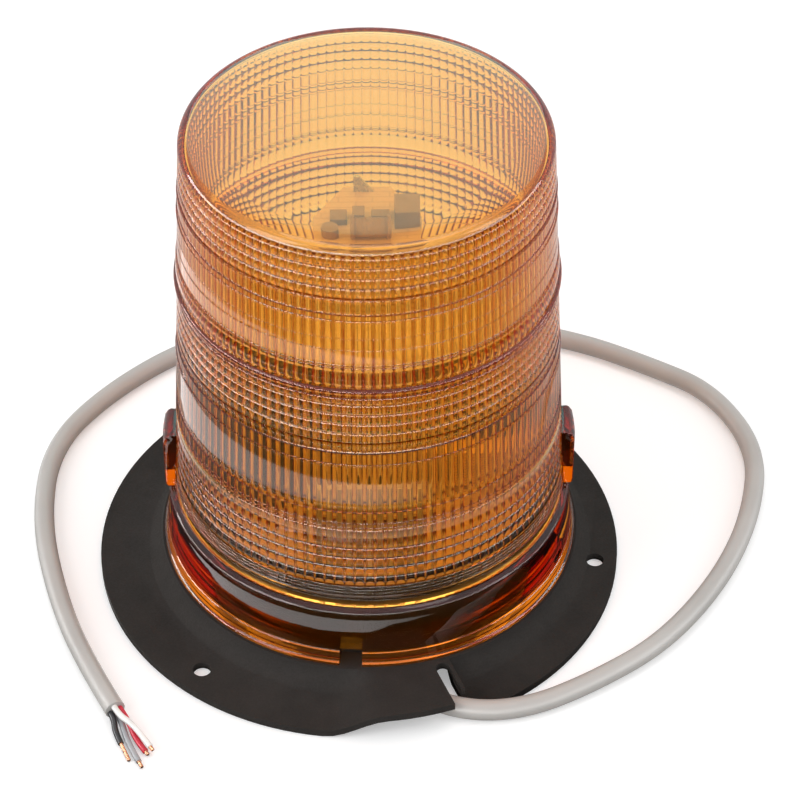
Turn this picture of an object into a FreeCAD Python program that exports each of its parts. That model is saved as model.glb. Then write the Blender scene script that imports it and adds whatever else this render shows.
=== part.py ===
import FreeCAD, Part
import math
import os

import Sketcher
from FreeCAD import Placement, Rotation, Vector

# Strobe light: an amber lens over a black base on a flexible flange, with a loose supply cable.
# Millimetres. The origin is the centre of the three screw holes, on the floor under the flange.

SIZES = {
    # Lens axis and stack heights
    "axis_offset": 3.4,
    "flange_thickness": 2.5,
    "flange_rise": 7.0,
    "lens_gap": 0.2,
    # Mounting flange
    "flange_radius": 82.8,
    "flange_rim_shift": 2.5,
    "plateau_margin": 0.8,
    "flare_width": 4.8,
    "flare_radius": 9.0,
    "bolt_circle_radius": 76.2,
    "bolt_hole_radius": 2.8,
    "bolt_first_angle": -9.5,
    "slot_width": 4.2,
    "slot_angle": -68.9,
    "slot_inner_radius": 68.2,
    "relief_depth": 73.9,
    "relief_start": 30.2,
    "lip_clearance": 0.3,
    "lip_full_angle": -86.5,
    "lip_end_angle": -100.0,
    # Lens
    "skirt_radius": 65.4,
    "skirt_top_radius": 62.5,
    "skirt_height": 19.4,
    "rim_height": 1.5,
    "rim_depth": 0.6,
    "skirt_bore_radius": 60.3,
    "ledge_height": 21.0,
    "collar_ring_radius": 63.0,
    "collar_ring_height": 1.8,
    "wall_foot_radius": 61.0,
    "wall_foot_height": 22.0,
    "wall_top_radius": 54.5,
    "wall_top_height": 148.5,
    "lens_height": 153.5,
    "lens_wall": 2.4,
    "shoulder_radius": 3.0,
    "inner_shoulder_radius": 1.0,
    "ring_height": 104.2,
    "ring_width": 1.8,
    "ring_depth": 0.9,
    "low_groove_height": 60.5,
    "low_groove_width": 1.6,
    "high_groove_height": 82.5,
    "high_groove_width": 2.6,
    "groove_depth": 0.7,
    "notch_width": 7.0,
    "notch_height": 6.5,
    "notch_angle": -95.4,
    "ear_radius": 64.2,
    "ear_width": 14.0,
    "ear_top": 42.0,
    "ear_window_width": 6.0,
    "ear_window_height": 11.0,
    "ear_window_depth": 1.4,
    "ear_window_drop": 4.0,
    # Twist lock between base and lens
    "lug_radius": 62.1,
    "lug_half_angle": 4.2,
    "lug_height": 4.0,
    "lug_base": 4.5,
    "lock_clearance": 0.4,
    "lock_angle": 12.0,
    # Base housing
    "collar_radius": 59.6,
    "collar_wall": 2.6,
    "collar_height": 19.0,
    "base_floor": 3.0,
    "well_radius": 24.0,
    "well_wall": 3.0,
    "well_height": 18.5,
    "boss_radius": 4.0,
    "boss_height": 8.0,
    # Clamp ring and its screws
    "clamp_overhang": 0.4,
    "clamp_screw_inset": 7.6,
    "clamp_inner_inset": 5.5,
    "clamp_thickness": 3.0,
    "clamp_notch_left": 5.0,
    "clamp_notch_right": 10.0,
    "screw_radius": 1.5,
    "screw_clearance": 0.1,
    "screw_passage": 0.3,
    "screw_head_radius": 3.0,
    "screw_head_height": 1.9,
    "clamp_screw_length": 12.0,
    "board_screw_length": 10.0,
    "deck_screw_length": 8.0,
    # Seal
    "seal_width": 3.0,
    "seal_clearance": 0.2,
    # Cable and grommet
    "cable_diameter": 6.4,
    "grommet_offset": 8.0,
    "grommet_neck": 1.8,
    "grommet_flange": 2.2,
    "grommet_lip": 1.5,
    "grommet_clearance": 0.05,
    "conductor_radius": 0.95,
    "strand_radius": 0.6,
    "bare_black": 7.0,
    "bare_grey": 2.5,
    "bare_red": 1.5,
    "bare_white": 1.5,
    "feed_radius": 0.8,
    # Main board and what stands on it
    "board_height": 34.0,
    "board_radius": 50.0,
    "board_thickness": 1.6,
    "board_passage_radius": 6.0,
    "standoff_circle": 42.0,
    "standoff_radius": 3.2,
    "capacitor_across": 31.5,
    "capacitor_radius": 14.0,
    "capacitor_front": 8.0,
    "capacitor_headroom": 8.4,
    "transformer_across": 30.0,
    "transformer_front": 5.0,
    "transformer_width": 24.0,
    "transformer_depth": 22.0,
    "transformer_height": 22.0,
    "core_thickness": 5.5,
    "core_depth": 8.8,
    "core_yoke": 3.85,
    "winding_clearance": 0.2,
    "sink_inset": 12.0,
    "sink_width": 34.0,
    "sink_height": 24.0,
    "fin_depth": 9.0,
    "fin_thickness": 1.4,
    "sink_plate_thickness": 2.0,
    "transistor_width": 10.0,
    "transistor_depth": 4.5,
    "transistor_height": 9.0,
    "transistor_stand": 4.0,
    "transistor_tab_height": 15.5,
    "transistor_tab_thickness": 1.3,
    "transistor_eye_radius": 1.8,
    "transistor_eye_drop": 3.1,
    "transistor_leg_pitch": 2.5,
    "transistor_leg_width": 0.8,
    "terminal_width": 24.0,
    "terminal_depth": 11.0,
    "terminal_height": 12.0,
    "terminal_pitch": 5.5,
    "terminal_screw_radius": 1.9,
    "terminal_screw_depth": 3.0,
    "terminal_screw_height": 2.0,
    "terminal_screw_inset": 6.0,
    "filter_radius": 4.0,
    "filter_height": 11.0,
    "filter_front": 22.0,
    "filter_across": 19.0,
    "filter_back": 26.0,
    "resistor_length": 11.0,
    "resistor_width": 3.4,
    "resistor_pitch": 6.0,
    "resistor_across": 33.0,
    "resistor_start": 10.0,
    # Tower and lamp head
    "pillar_inset": 5.0,
    "pillar_radius": 2.6,
    "pillar_bore_depth": 11.0,
    "pillar_first_angle": -90.0,
    "deck_height": 80.0,
    "deck_radius": 20.0,
    "deck_thickness": 1.6,
    "deck_edge_height": 4.0,
    "deck_edge_slope": 1.0,
    "socket_radius": 10.0,
    "socket_height": 10.0,
    "socket_foot_width": 1.5,
    "socket_foot_height": 2.0,
    "pin_circle": 6.5,
    "pin_radius": 1.4,
    "pin_length": 8.0,
    "pin_clearance": 0.2,
    "head_gap": 0.3,
    "tube_base_radius": 15.0,
    "tube_base_height": 4.0,
    "tube_radius": 3.6,
    "tube_wall": 0.9,
    "tube_half_span": 7.0,
    "tube_seat_clearance": 0.1,
    "tube_seat_height": 2.5,
    "tube_seat_wall": 1.2,
    "tube_leg": 15.0,
    "electrode_radius": 1.2,
    "electrode_length": 9.0,
    "rod_radius": 1.3,
    "rod_offset": 12.0,
    "tube_headroom": 5.5,
    "top_board_thickness": 1.6,
    "top_board_half_width": 16.0,
    "top_board_front": 13.0,
    "top_board_side": 3.0,
    "top_board_back": 17.5,
    "top_board_back_half_width": 7.0,
    "trigger_radius": 4.2,
    "trigger_length": 12.0,
    "trigger_cheek": 1.2,
    "tab_width": 6.0,
    "tab_top_width": 1.6,
    "tab_height": 5.6,
    "tab_thickness": 1.0,
}


class Size:
    """A number with the sheet formula that gives it."""

    def __init__(self, value, text):
        self.value = value
        self.text = text

    def __add__(self, other):
        other = sized(other)
        return Size(self.value + other.value, f"({self.text} + {other.text})")

    def __sub__(self, other):
        other = sized(other)
        return Size(self.value - other.value, f"({self.text} - {other.text})")

    def __mul__(self, other):
        other = sized(other)
        return Size(self.value * other.value, f"({self.text} * {other.text})")

    def __truediv__(self, other):
        other = sized(other)
        return Size(self.value / other.value, f"({self.text} / {other.text})")

    def __neg__(self):
        return Size(-self.value, f"(0 - {self.text})")


def sized(number):
    """A Size as it is, or a bare number as a Size."""
    return number if isinstance(number, Size) else Size(float(number), f"{number}")


def polar(radius, angle):
    """X and Y of a point at a radius and an angle in degrees."""
    radius = sized(radius)
    angle = sized(angle)
    turn = math.radians(angle.value)
    x = Size(radius.value * math.cos(turn), f"({radius.text} * cos({angle.text} * 1 deg))")
    y = Size(radius.value * math.sin(turn), f"({radius.text} * sin({angle.text} * 1 deg))")
    return x, y


doc = FreeCAD.newDocument("StrobeLight")
sheet = doc.addObject("Spreadsheet::Sheet", "Sizes")
S = {}
for row, (alias, number) in enumerate(SIZES.items(), start=1):
    sheet.set(f"A{row}", str(number))
    sheet.setAlias(f"A{row}", alias)
    S[alias] = Size(number, f"Sizes.{alias}")
doc.recompute()

ZERO = Size(0.0, "0")
Z_AXIS = Vector(0, 0, 1)
nodes = []


def bind(thing, **sizes):
    """Tie properties of an object to sheet formulas."""
    for prop, size in sizes.items():
        setattr(thing, prop, sized(size).value)
        thing.setExpression(prop, sized(size).text)


def place(thing, x=ZERO, y=ZERO, z=ZERO, axis=Z_AXIS, angle=ZERO):
    """Put an object at a place, turned about an axis, both tied to the sheet."""
    x, y, z, angle = sized(x), sized(y), sized(z), sized(angle)
    thing.Placement = Placement(Vector(x.value, y.value, z.value), Rotation(axis, angle.value))
    thing.setExpression("Placement.Base.x", x.text)
    thing.setExpression("Placement.Base.y", y.text)
    thing.setExpression("Placement.Base.z", z.text)
    if angle.text != "0":
        thing.setExpression("Placement.Rotation.Angle", angle.text)
    return thing


def node(thing, label):
    """Name an object as one separate piece of the light."""
    thing.Label = label
    nodes.append(thing)
    return thing


def cylinder(name, radius, height, *spot, **turn):
    """A cylinder standing on its spot."""
    made = doc.addObject("Part::Cylinder", name)
    bind(made, Radius=radius, Height=height)
    return place(made, *spot, **turn)


def box(name, width, depth, height, *spot, **turn):
    """A box with its lowest corner at its spot."""
    made = doc.addObject("Part::Box", name)
    bind(made, Length=width, Width=depth, Height=height)
    return place(made, *spot, **turn)


def fuse(name, things):
    made = doc.addObject("Part::MultiFuse", name)
    made.Shapes = things
    made.Refine = True
    return made


def common(name, things):
    made = doc.addObject("Part::MultiCommon", name)
    made.Shapes = things
    made.Refine = True
    return made


def cut(name, base, tools):
    """Take one or more tools from a solid."""
    made = doc.addObject("Part::Cut", name)
    made.Base = base
    made.Tool = tools[0] if len(tools) == 1 else fuse(name + "_tools", tools)
    made.Refine = True
    return made


def group(name, things):
    made = doc.addObject("Part::Compound", name)
    made.Links = things
    return made


def arc_middle(start, end, radius):
    """Centre of a short arc; a positive radius turns left on the way from start to end."""
    chord = end - start
    half = chord.Length / 2
    rise = math.sqrt(max(radius * radius - half * half, 0.0))
    left = Vector(-chord.y, chord.x, 0).normalize()
    return start + chord * 0.5 + left * (rise if radius > 0 else -rise)


def draw_outline(sketch, corners):
    """Closed outline of lines and arcs; a corner's third entry is the radius of the arc that leaves it."""
    points = [Vector(sized(corner[0]).value, sized(corner[1]).value, 0) for corner in corners]
    ends = []
    for index, corner in enumerate(corners):
        start = points[index]
        end = points[(index + 1) % len(points)]
        if len(corner) == 3:
            radius = sized(corner[2]).value
            centre = arc_middle(start, end, radius)
            first, last = (start, end) if radius > 0 else (end, start)
            angles = [math.atan2(p.y - centre.y, p.x - centre.x) for p in (first, last)]
            if angles[1] < angles[0]:
                angles[1] += 2 * math.pi
            circle = Part.Circle(centre, Z_AXIS, abs(radius))
            geometry = sketch.addGeometry(Part.ArcOfCircle(circle, *angles), False)
            ends.append((geometry, 1, 2) if radius > 0 else (geometry, 2, 1))
        else:
            geometry = sketch.addGeometry(Part.LineSegment(start, end), False)
            ends.append((geometry, 1, 2))
    for index, (geometry, first, last) in enumerate(ends):
        following, following_first, _ = ends[(index + 1) % len(ends)]
        sketch.addConstraint(Sketcher.Constraint("Coincident", geometry, last, following, following_first))
        across, up = sized(corners[index][0]), sized(corners[index][1])
        if across.text == "0":
            sketch.addConstraint(Sketcher.Constraint("PointOnObject", geometry, first, -2))
        else:
            drive(sketch, "DistanceX", (-1, 1, geometry, first), across)
        drive(sketch, "DistanceY", (-1, 1, geometry, first), up)
        if len(corners[index]) == 3:
            radius = sized(corners[index][2])
            drive(sketch, "Radius", (geometry,), radius if radius.value > 0 else -radius)


def drive(sketch, kind, places, size):
    """One dimension of a sketch, tied to the sheet."""
    number = sketch.addConstraint(Sketcher.Constraint(kind, *places, size.value))
    sketch.setExpression(f"Constraints[{number}]", size.text)


def origin_plane(body, role):
    return next(item for item in body.Origin.OriginFeatures if item.Role == role)


def turned(name, corners, *spot):
    """A body turned about its own upright axis from an outline of radius and height."""
    body = doc.addObject("PartDesign::Body", name)
    sketch = body.newObject("Sketcher::SketchObject", name + "_outline")
    sketch.AttachmentSupport = [(origin_plane(body, "XZ_Plane"), "")]
    sketch.MapMode = "FlatFace"
    draw_outline(sketch, corners)
    doc.recompute()
    spin = body.newObject("PartDesign::Revolution", name + "_turn")
    spin.Profile = sketch
    spin.ReferenceAxis = (sketch, ["V_Axis"])
    spin.Angle = 360.0
    body.Tip = spin
    return place(body, *spot)


def plate(name, corners, thickness, *spot, **turn):
    """A body padded upwards from a flat outline."""
    body = doc.addObject("PartDesign::Body", name)
    sketch = body.newObject("Sketcher::SketchObject", name + "_outline")
    sketch.AttachmentSupport = [(origin_plane(body, "XY_Plane"), "")]
    sketch.MapMode = "FlatFace"
    draw_outline(sketch, corners)
    doc.recompute()
    pad = body.newObject("PartDesign::Pad", name + "_pad")
    pad.Profile = sketch
    bind(pad, Length=thickness)
    body.Tip = pad
    return place(body, *spot, **turn)


def rounded_path(points, show=None):
    """Straight runs joined by tangent arcs, each as large as its two runs allow."""
    spots = [Vector(*point) for point in points]
    edges = []
    begin = spots[0]
    for before, corner, after in zip(spots, spots[1:], spots[2:]):
        inward = (corner - before).normalize()
        outward = (after - corner).normalize()
        half_turn = inward.getAngle(outward) / 2
        shorter = min((corner - before).Length, (after - corner).Length)
        radius = 0.45 * shorter / math.tan(half_turn)
        if show is not None:
            show.append(radius)
        reach = 0.45 * shorter
        first = corner - inward * reach
        last = corner + outward * reach
        towards = (outward - inward).normalize()
        middle = corner + towards * (radius / math.cos(half_turn) - radius)
        edges.append(Part.LineSegment(begin, first).toShape())
        edges.append(Part.Arc(first, middle, last).toShape())
        begin = last
    edges.append(Part.LineSegment(begin, spots[-1]).toShape())
    return Part.Wire(edges)


def swept(name, points, radius, bore=0.0, show=None):
    """A round tube or rod along a path of runs and arcs."""
    path = rounded_path(points, show)
    start = Vector(*points[0])
    heading = Vector(*points[1]) - start
    made = doc.addObject("Part::Feature", name)
    outline = Part.Wire(Part.makeCircle(radius, start, heading))
    shape = path.makePipeShell([outline], True, True)
    if bore:
        inner = Part.Wire(Part.makeCircle(bore, start, heading))
        shape = shape.cut(path.makePipeShell([inner], True, True))
    made.Shape = shape
    return made, path.Length


# Heights that several pieces share
axis_x = S["axis_offset"]
plateau_top = S["flange_thickness"] + S["flange_rise"]
lens_foot = plateau_top + S["lens_gap"]
collar_top = plateau_top + S["collar_height"]
plateau_radius = S["skirt_radius"] + S["plateau_margin"]
flare_foot = plateau_radius + S["flare_width"]
cable_radius = S["cable_diameter"] / 2
lip_lift = S["cable_diameter"] + S["lip_clearance"]
well_top = plateau_top + S["well_height"]
sink_back = S["board_radius"] - S["sink_inset"]
clamp_circle = S["collar_radius"] - S["clamp_screw_inset"]
clamp_inner = clamp_circle - S["clamp_inner_inset"]
flange_inner = clamp_inner - 0.5
pillar_circle = S["deck_radius"] - S["pillar_inset"]
board_top = S["board_height"] + S["board_thickness"]
deck_top = S["deck_height"] + S["deck_thickness"]
head_foot = deck_top + S["socket_height"] + S["head_gap"]
head_top = head_foot + S["tube_base_height"]
top_board_foot = head_top + S["tube_leg"] + S["tube_half_span"] + S["tube_radius"] + S["tube_headroom"]
top_board_top = top_board_foot + S["top_board_thickness"]


def flange_section(lift):
    """Outline of the flange's wall as radius and height, with its outer ring raised by a lift."""
    thick = S["flange_thickness"]
    beyond = S["flange_radius"] + S["axis_offset"] + S["flange_rim_shift"] + 2
    return [
        (beyond, lift),
        (beyond, lift + thick),
        (flare_foot, lift + thick),
        (plateau_radius, plateau_top),
        (flange_inner, plateau_top),
        (flange_inner, S["flange_rise"]),
        (plateau_radius - thick, S["flange_rise"]),
        (flare_foot - thick, lift),
    ]


def make_flange_ring():
    """The flange all round, but for the lifted lip."""
    corners = flange_section(ZERO)
    corners[2] = (*corners[2], -S["flare_radius"])
    corners[6] = (*corners[6], S["flare_radius"])
    sketch = doc.addObject("Sketcher::SketchObject", "flange_outline")
    sketch.Placement = Placement(Vector(0, 0, 0), Rotation(Vector(1, 0, 0), 90))
    draw_outline(sketch, corners)
    ring = doc.addObject("Part::Revolution", "flange_ring")
    ring.Source = sketch
    ring.Axis = Z_AXIS
    ring.Base = Vector(0, 0, 0)
    ring.Solid = True
    bind(ring, Angle=Size(360.0, "360") + S["lip_end_angle"] - S["slot_angle"])
    return place(ring, axis_x, angle=S["slot_angle"])


def lip_wire(lift, angle):
    """One upright section of the lip, at an angle about the lens axis."""
    turn = Placement(Vector(axis_x.value, 0, 0), Rotation(Z_AXIS, angle))
    spots = [turn.multVec(Vector(r.value, 0, h.value)) for r, h in flange_section(sized(lift))]
    raised = lift / lip_lift.value
    bow = S["flare_radius"].value / max(1.0 - 0.999 * raised, 0.02)

    def flare(low, high, left):
        """Arc between two corners, flatter where the lip is lifted."""
        chord = high - low
        sag = bow - math.sqrt(bow * bow - chord.Length ** 2 / 4)
        out = turn.Rotation.multVec(Vector(1, 0, 0))
        across = Vector(chord).cross(out.cross(Z_AXIS)).normalize() * (1 if left else -1)
        return Part.Arc(low, low + chord * 0.5 + across * sag, high).toShape()

    edges = []
    for index, spot in enumerate(spots):
        following = spots[(index + 1) % len(spots)]
        if index == 2:
            edges.append(flare(spot, following, False))
        elif index == 6:
            edges.append(flare(spot, following, True))
        else:
            edges.append(Part.LineSegment(spot, following).toShape())
    return Part.Wire(edges)


def make_lip():
    """The part of the flange that bends up over the cable, beside the slot."""
    full = S["lip_full_angle"].value
    end = S["lip_end_angle"].value
    steps = 6
    wires = [lip_wire(lip_lift.value, S["slot_angle"].value), lip_wire(lip_lift.value, full)]
    for step in range(1, steps + 1):
        part = step / steps
        lift = lip_lift.value * 0.5 * (1 + math.cos(math.pi * part))
        wires.append(lip_wire(lift, full + (end - full) * part))
    lip = doc.addObject("Part::Feature", "flange_lip")
    lip.Shape = Part.makeLoft(wires, True, True)
    return lip


def make_flange():
    whole = fuse("flange_whole", [make_flange_ring(), make_lip()])
    high = plateau_top + lip_lift
    rim = cylinder("flange_rim", S["flange_radius"], high, 0, -S["flange_rim_shift"])
    trimmed = common("flange_trimmed", [whole, rim])
    tools = []
    for index in range(3):
        spot = polar(S["bolt_circle_radius"], S["bolt_first_angle"] + 120 * index)
        tools.append(cylinder(f"bolt_hole_{index}", S["bolt_hole_radius"], high, *spot))
    for index in range(6):
        x, y = polar(clamp_circle, 60 * index)
        passage = S["screw_radius"] + S["screw_passage"]
        tools.append(cylinder(f"flange_passage_{index}", passage, high, axis_x + x, y))
    half = S["slot_width"] / 2
    x, y = polar(S["slot_inner_radius"] + half, S["slot_angle"])
    tools.append(cylinder("slot_end", half, high, x, y))
    left, down = polar(half, S["slot_angle"] - 90)
    length = S["flange_radius"]
    tools.append(box("slot_run", length, S["slot_width"], high, x + left, y + down, angle=S["slot_angle"]))
    tools.append(
        box("cable_relief", length, length, high, S["relief_start"], -(S["relief_depth"] + length))
    )
    return cut("flange", trimmed, tools)


def wall_radius(height):
    """Radius of the tapered lens wall at a height above the lens's foot."""
    slope = (S["wall_foot_radius"] - S["wall_top_radius"]) / (S["wall_top_height"] - S["wall_foot_height"])
    return S["wall_foot_radius"] - slope * (height - S["wall_foot_height"])


def lens_outline():
    """Outer side upwards, then the inner side downwards, as radius and height above the foot."""
    step = 0.6
    rim = S["skirt_radius"] - S["rim_depth"]
    collar_low = S["skirt_height"]
    collar_high = collar_low + S["collar_ring_height"]
    corners = [
        (S["skirt_radius"], ZERO),
        (S["skirt_radius"], S["rim_height"]),
        (rim, S["rim_height"] + step),
        (S["skirt_top_radius"], collar_low),
        (S["collar_ring_radius"], collar_low + 0.3),
        (S["collar_ring_radius"], collar_high - 0.4),
        (wall_radius(S["wall_foot_height"]), sized(S["wall_foot_height"])),
    ]
    for name in ("low_groove", "high_groove"):
        low = S[name + "_height"] - S[name + "_width"] / 2
        high = S[name + "_height"] + S[name + "_width"] / 2
        corners.append((wall_radius(low), low))
        corners.append((wall_radius(low) - S["groove_depth"], low + 0.4))
        corners.append((wall_radius(high) - S["groove_depth"], high - 0.4))
        corners.append((wall_radius(high), high))
    ring_low = S["ring_height"] - S["ring_width"] / 2
    ring_high = S["ring_height"] + S["ring_width"] / 2
    corners.append((wall_radius(ring_low), ring_low - 0.5))
    corners.append((wall_radius(ring_low) + S["ring_depth"], ring_low))
    corners.append((wall_radius(ring_high) + S["ring_depth"], ring_high))
    corners.append((wall_radius(ring_high), ring_high + 0.5))
    shoulder = S["shoulder_radius"]
    shoulder_low = S["lens_height"] - shoulder
    shoulder_wall = wall_radius(shoulder_low)
    corners.append((shoulder_wall, shoulder_low, shoulder))
    corners.append((shoulder_wall - shoulder, S["lens_height"]))
    corners.append((ZERO, S["lens_height"]))
    corners.append((ZERO, S["lens_height"] - S["lens_wall"]))
    inner_shoulder = S["inner_shoulder_radius"]
    inner_top = S["lens_height"] - S["lens_wall"]
    bore_top = shoulder_wall - S["lens_wall"]
    corners.append((bore_top - inner_shoulder, inner_top, -inner_shoulder))
    corners.append((bore_top, inner_top - inner_shoulder))
    corners.append((wall_radius(S["ledge_height"]) - S["lens_wall"], S["ledge_height"]))
    corners.append((S["skirt_bore_radius"], S["ledge_height"]))
    corners.append((S["skirt_bore_radius"], ZERO))
    return corners


def sector(name, inner, outer, low, high, start, end):
    """A ring sector about the lens axis, between two radii, heights and angles."""
    ring = cylinder(name + "_outer", outer, high - low, axis_x, ZERO, low, angle=start)
    bind(ring, Angle=end - start)
    core = cylinder(name + "_inner", inner, high - low + 2, axis_x, ZERO, low - 1)
    return cut(name, ring, [core])


def make_ear(side, name):
    """A grip ear that stands out of the tapered wall down to the collar ring."""
    low = lens_foot + S["skirt_height"] + S["collar_ring_height"]
    high = lens_foot + S["ear_top"]
    half = S["ear_width"] / 2
    inner = S["wall_top_radius"]
    reach = S["ear_radius"] - inner + 1
    inner_face = axis_x + inner if side > 0 else axis_x - inner - reach
    block = box(name + "_block", reach, S["ear_width"], high - low, inner_face, -half, low)
    face = cylinder(name + "_face", S["ear_radius"], high - low, axis_x, ZERO, low)
    bore = cylinder(
        name + "_bore", S["wall_foot_radius"] - S["lens_wall"] + 0.6, high - low + 2, axis_x, ZERO, low - 1
    )
    body = cut(name + "_body", common(name + "_round", [block, face]), [bore])
    depth = S["ear_window_depth"]
    wide = S["ear_window_width"]
    tool = depth * 3
    window_x = axis_x + S["ear_radius"] - depth if side > 0 else axis_x - S["ear_radius"] - tool + depth
    tall = S["ear_window_height"]
    foot = high - S["ear_window_drop"] - tall
    window = box(name + "_window", tool, wide, tall, window_x, -wide / 2, foot)
    return cut(name, body, [window])


def make_lens():
    shell = turned("lens_shell", lens_outline(), axis_x, ZERO, lens_foot)
    whole = fuse("lens_with_ears", [shell, make_ear(1, "ear_right"), make_ear(-1, "ear_left")])
    gap = S["lock_clearance"]
    low = plateau_top + S["lug_base"]
    high = low + S["lug_height"]
    side_gap = 1.4
    tools = []
    for index in range(2):
        middle = Size(180.0 * index, f"{180 * index}")
        start = middle - S["lug_half_angle"] - side_gap
        end = middle + S["lug_half_angle"] + side_gap
        outer = S["lug_radius"] + gap
        inner = S["skirt_bore_radius"] - 1
        entry_foot = lens_foot - 1
        tools.append(sector(f"entry_{index}", inner, outer, entry_foot, high + gap, start, end))
        run = sector(f"run_{index}", inner, outer, low - gap, high + gap, start - S["lock_angle"], end)
        tools.append(run)
    wide = S["notch_width"]
    x, y = polar(S["skirt_radius"] - 8, S["notch_angle"])
    left, down = polar(wide / 2, S["notch_angle"] - 90)
    spot = (axis_x + x + left, y + down, lens_foot - 1)
    tools.append(box("notch", sized(16), wide, S["notch_height"] + 1, *spot, angle=S["notch_angle"]))
    return cut("lens", whole, tools)


def make_base():
    """Base cup with a cable well under its middle, screw bosses and two lock lugs."""
    foot = plateau_top
    floor_top = foot + S["base_floor"]
    inner = S["collar_radius"] - S["collar_wall"]
    ceiling = well_top + S["well_wall"]
    shell = turned(
        "base_shell",
        [
            (S["well_radius"], foot),
            (S["collar_radius"] - 0.6, foot),
            (S["collar_radius"], foot + 0.6),
            (S["collar_radius"], collar_top),
            (inner, collar_top),
            (inner, floor_top),
            (S["well_radius"] + S["well_wall"], floor_top),
            (S["well_radius"] + S["well_wall"], ceiling),
            (ZERO, ceiling),
            (ZERO, well_top),
            (S["well_radius"], well_top),
        ],
        axis_x,
    )
    adds = [shell]
    tools = []
    for index in range(6):
        x, y = polar(clamp_circle, 60 * index)
        spot = (axis_x + x, y, floor_top - 0.5)
        adds.append(cylinder(f"boss_{index}", S["boss_radius"], S["boss_height"], *spot))
        hole = S["screw_radius"] + S["screw_clearance"]
        tools.append(cylinder(f"boss_hole_{index}", hole, S["clamp_screw_length"], axis_x + x, y, foot - 1))
    for index in range(2):
        middle = Size(180.0 * index, f"{180 * index}")
        half = S["lug_half_angle"]
        low = foot + S["lug_base"]
        root = S["collar_radius"] - 1
        lug = (root, S["lug_radius"], low, low + S["lug_height"], middle - half, middle + half)
        adds.append(sector(f"lug_{index}", *lug))
    for index in range(4):
        x, y = polar(S["standoff_circle"], 45 + 90 * index)
        hole = S["screw_radius"] + S["screw_clearance"]
        tools.append(cylinder(f"floor_hole_{index}", hole, sized(6), axis_x + x, y, foot - 1))
    neck = cable_radius + S["grommet_neck"] + S["grommet_clearance"]
    tools.append(cylinder("grommet_hole", neck, sized(8), axis_x, S["grommet_offset"], well_top - 2))
    return cut("base", fuse("base_solid", adds), tools)


def make_clamp_ring():
    low = S["flange_rise"] - S["clamp_thickness"]
    outer = S["collar_radius"] + S["clamp_overhang"]
    ring = cylinder("clamp_disc", outer, S["clamp_thickness"], axis_x, ZERO, low)
    tools = [cylinder("clamp_bore", clamp_inner, sized(20), axis_x, ZERO, low - 1)]
    wide = S["clamp_notch_left"] + S["clamp_notch_right"]
    spot = (axis_x - S["clamp_notch_left"], -(outer + 2), low - 1)
    tools.append(box("clamp_notch", wide, sized(24), sized(20), *spot))
    for index in range(6):
        x, y = polar(clamp_circle, 60 * index)
        passage = S["screw_radius"] + S["screw_passage"]
        tools.append(cylinder(f"clamp_passage_{index}", passage, sized(20), axis_x + x, y, low - 1))
    return cut("clamp", ring, tools)


def screw(name, length, x, y, head_face, upwards=True):
    """A pan-head screw; upwards means that its shank points up from the head."""
    head = S["screw_head_height"]
    shank_low = head_face if upwards else head_face - length
    head_low = head_face - head if upwards else head_face
    shank = cylinder(name + "_shank", S["screw_radius"], length, x, y, shank_low)
    cap = cylinder(name + "_head", S["screw_head_radius"], head, x, y, head_low)
    return fuse(name, [shank, cap])


def make_clamp_screws():
    made = []
    for index in range(6):
        x, y = polar(clamp_circle, 60 * index)
        face = S["flange_rise"] - S["clamp_thickness"]
        made.append(screw(f"clamp_screw_{index}", S["clamp_screw_length"], axis_x + x, y, face))
    return group("clamp_screw_set", made)


def make_seal():
    """Flat gasket between the base collar's top and the lens's inner ledge."""
    low = collar_top + S["seal_clearance"]
    high = lens_foot + S["ledge_height"] - S["seal_clearance"]
    outer = S["collar_radius"]
    inner = outer - S["seal_width"]
    return turned("seal", [(inner, low), (outer, low), (outer, high), (inner, high)], axis_x)


def make_grommet():
    bore = cable_radius + S["grommet_clearance"]
    neck = cable_radius + S["grommet_neck"]
    lip = neck + S["grommet_flange"]
    low = well_top
    high = well_top + S["well_wall"]
    return turned(
        "grommet",
        [
            (bore, low - S["grommet_lip"]),
            (lip - 0.5, low - S["grommet_lip"]),
            (lip, low - S["grommet_lip"] + 0.5),
            (lip, low),
            (neck, low),
            (neck, high),
            (lip, high),
            (lip, high + S["grommet_lip"] - 0.5),
            (lip - 0.5, high + S["grommet_lip"]),
            (bore, high + S["grommet_lip"]),
        ],
        axis_x,
        S["grommet_offset"],
    )


# Route of the supply cable, chosen by hand: down out of the grommet, under the lip and round the lamp
CABLE_ROUTE = [
    (3.4, 8.0, 33.0),
    (3.4, 8.0, 22.0),
    (3.4, 3.0, 12.0),
    (3.4, -6.0, 5.0),
    (3.4, -18.0, 3.2),
    (3.2, -30.0, 3.2),
    (3.5, -50.6, 3.2),
    (13.3, -67.8, 3.2),
    (30.6, -77.6, 3.2),
    (50.0, -77.0, 3.2),
    (70.7, -66.6, 3.2),
    (94.3, -49.8, 3.2),
    (114.7, -22.2, 3.2),
    (127.3, 7.2, 3.2),
    (132.2, 38.0, 3.2),
    (119.8, 67.0, 3.2),
    (99.0, 81.0, 3.2),
    (76.0, 94.0, 3.2),
    (45.0, 103.0, 3.2),
    (10.0, 108.0, 3.2),
    (-26.0, 105.0, 3.2),
    (-58.0, 93.0, 3.2),
    (-84.0, 70.0, 3.2),
    (-101.8, 43.0, 3.2),
    (-103.0, 7.0, 3.2),
    (-94.6, -29.6, 3.2),
    (-84.2, -56.4, 3.2),
    (-74.1, -75.8, 3.2),
]

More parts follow.
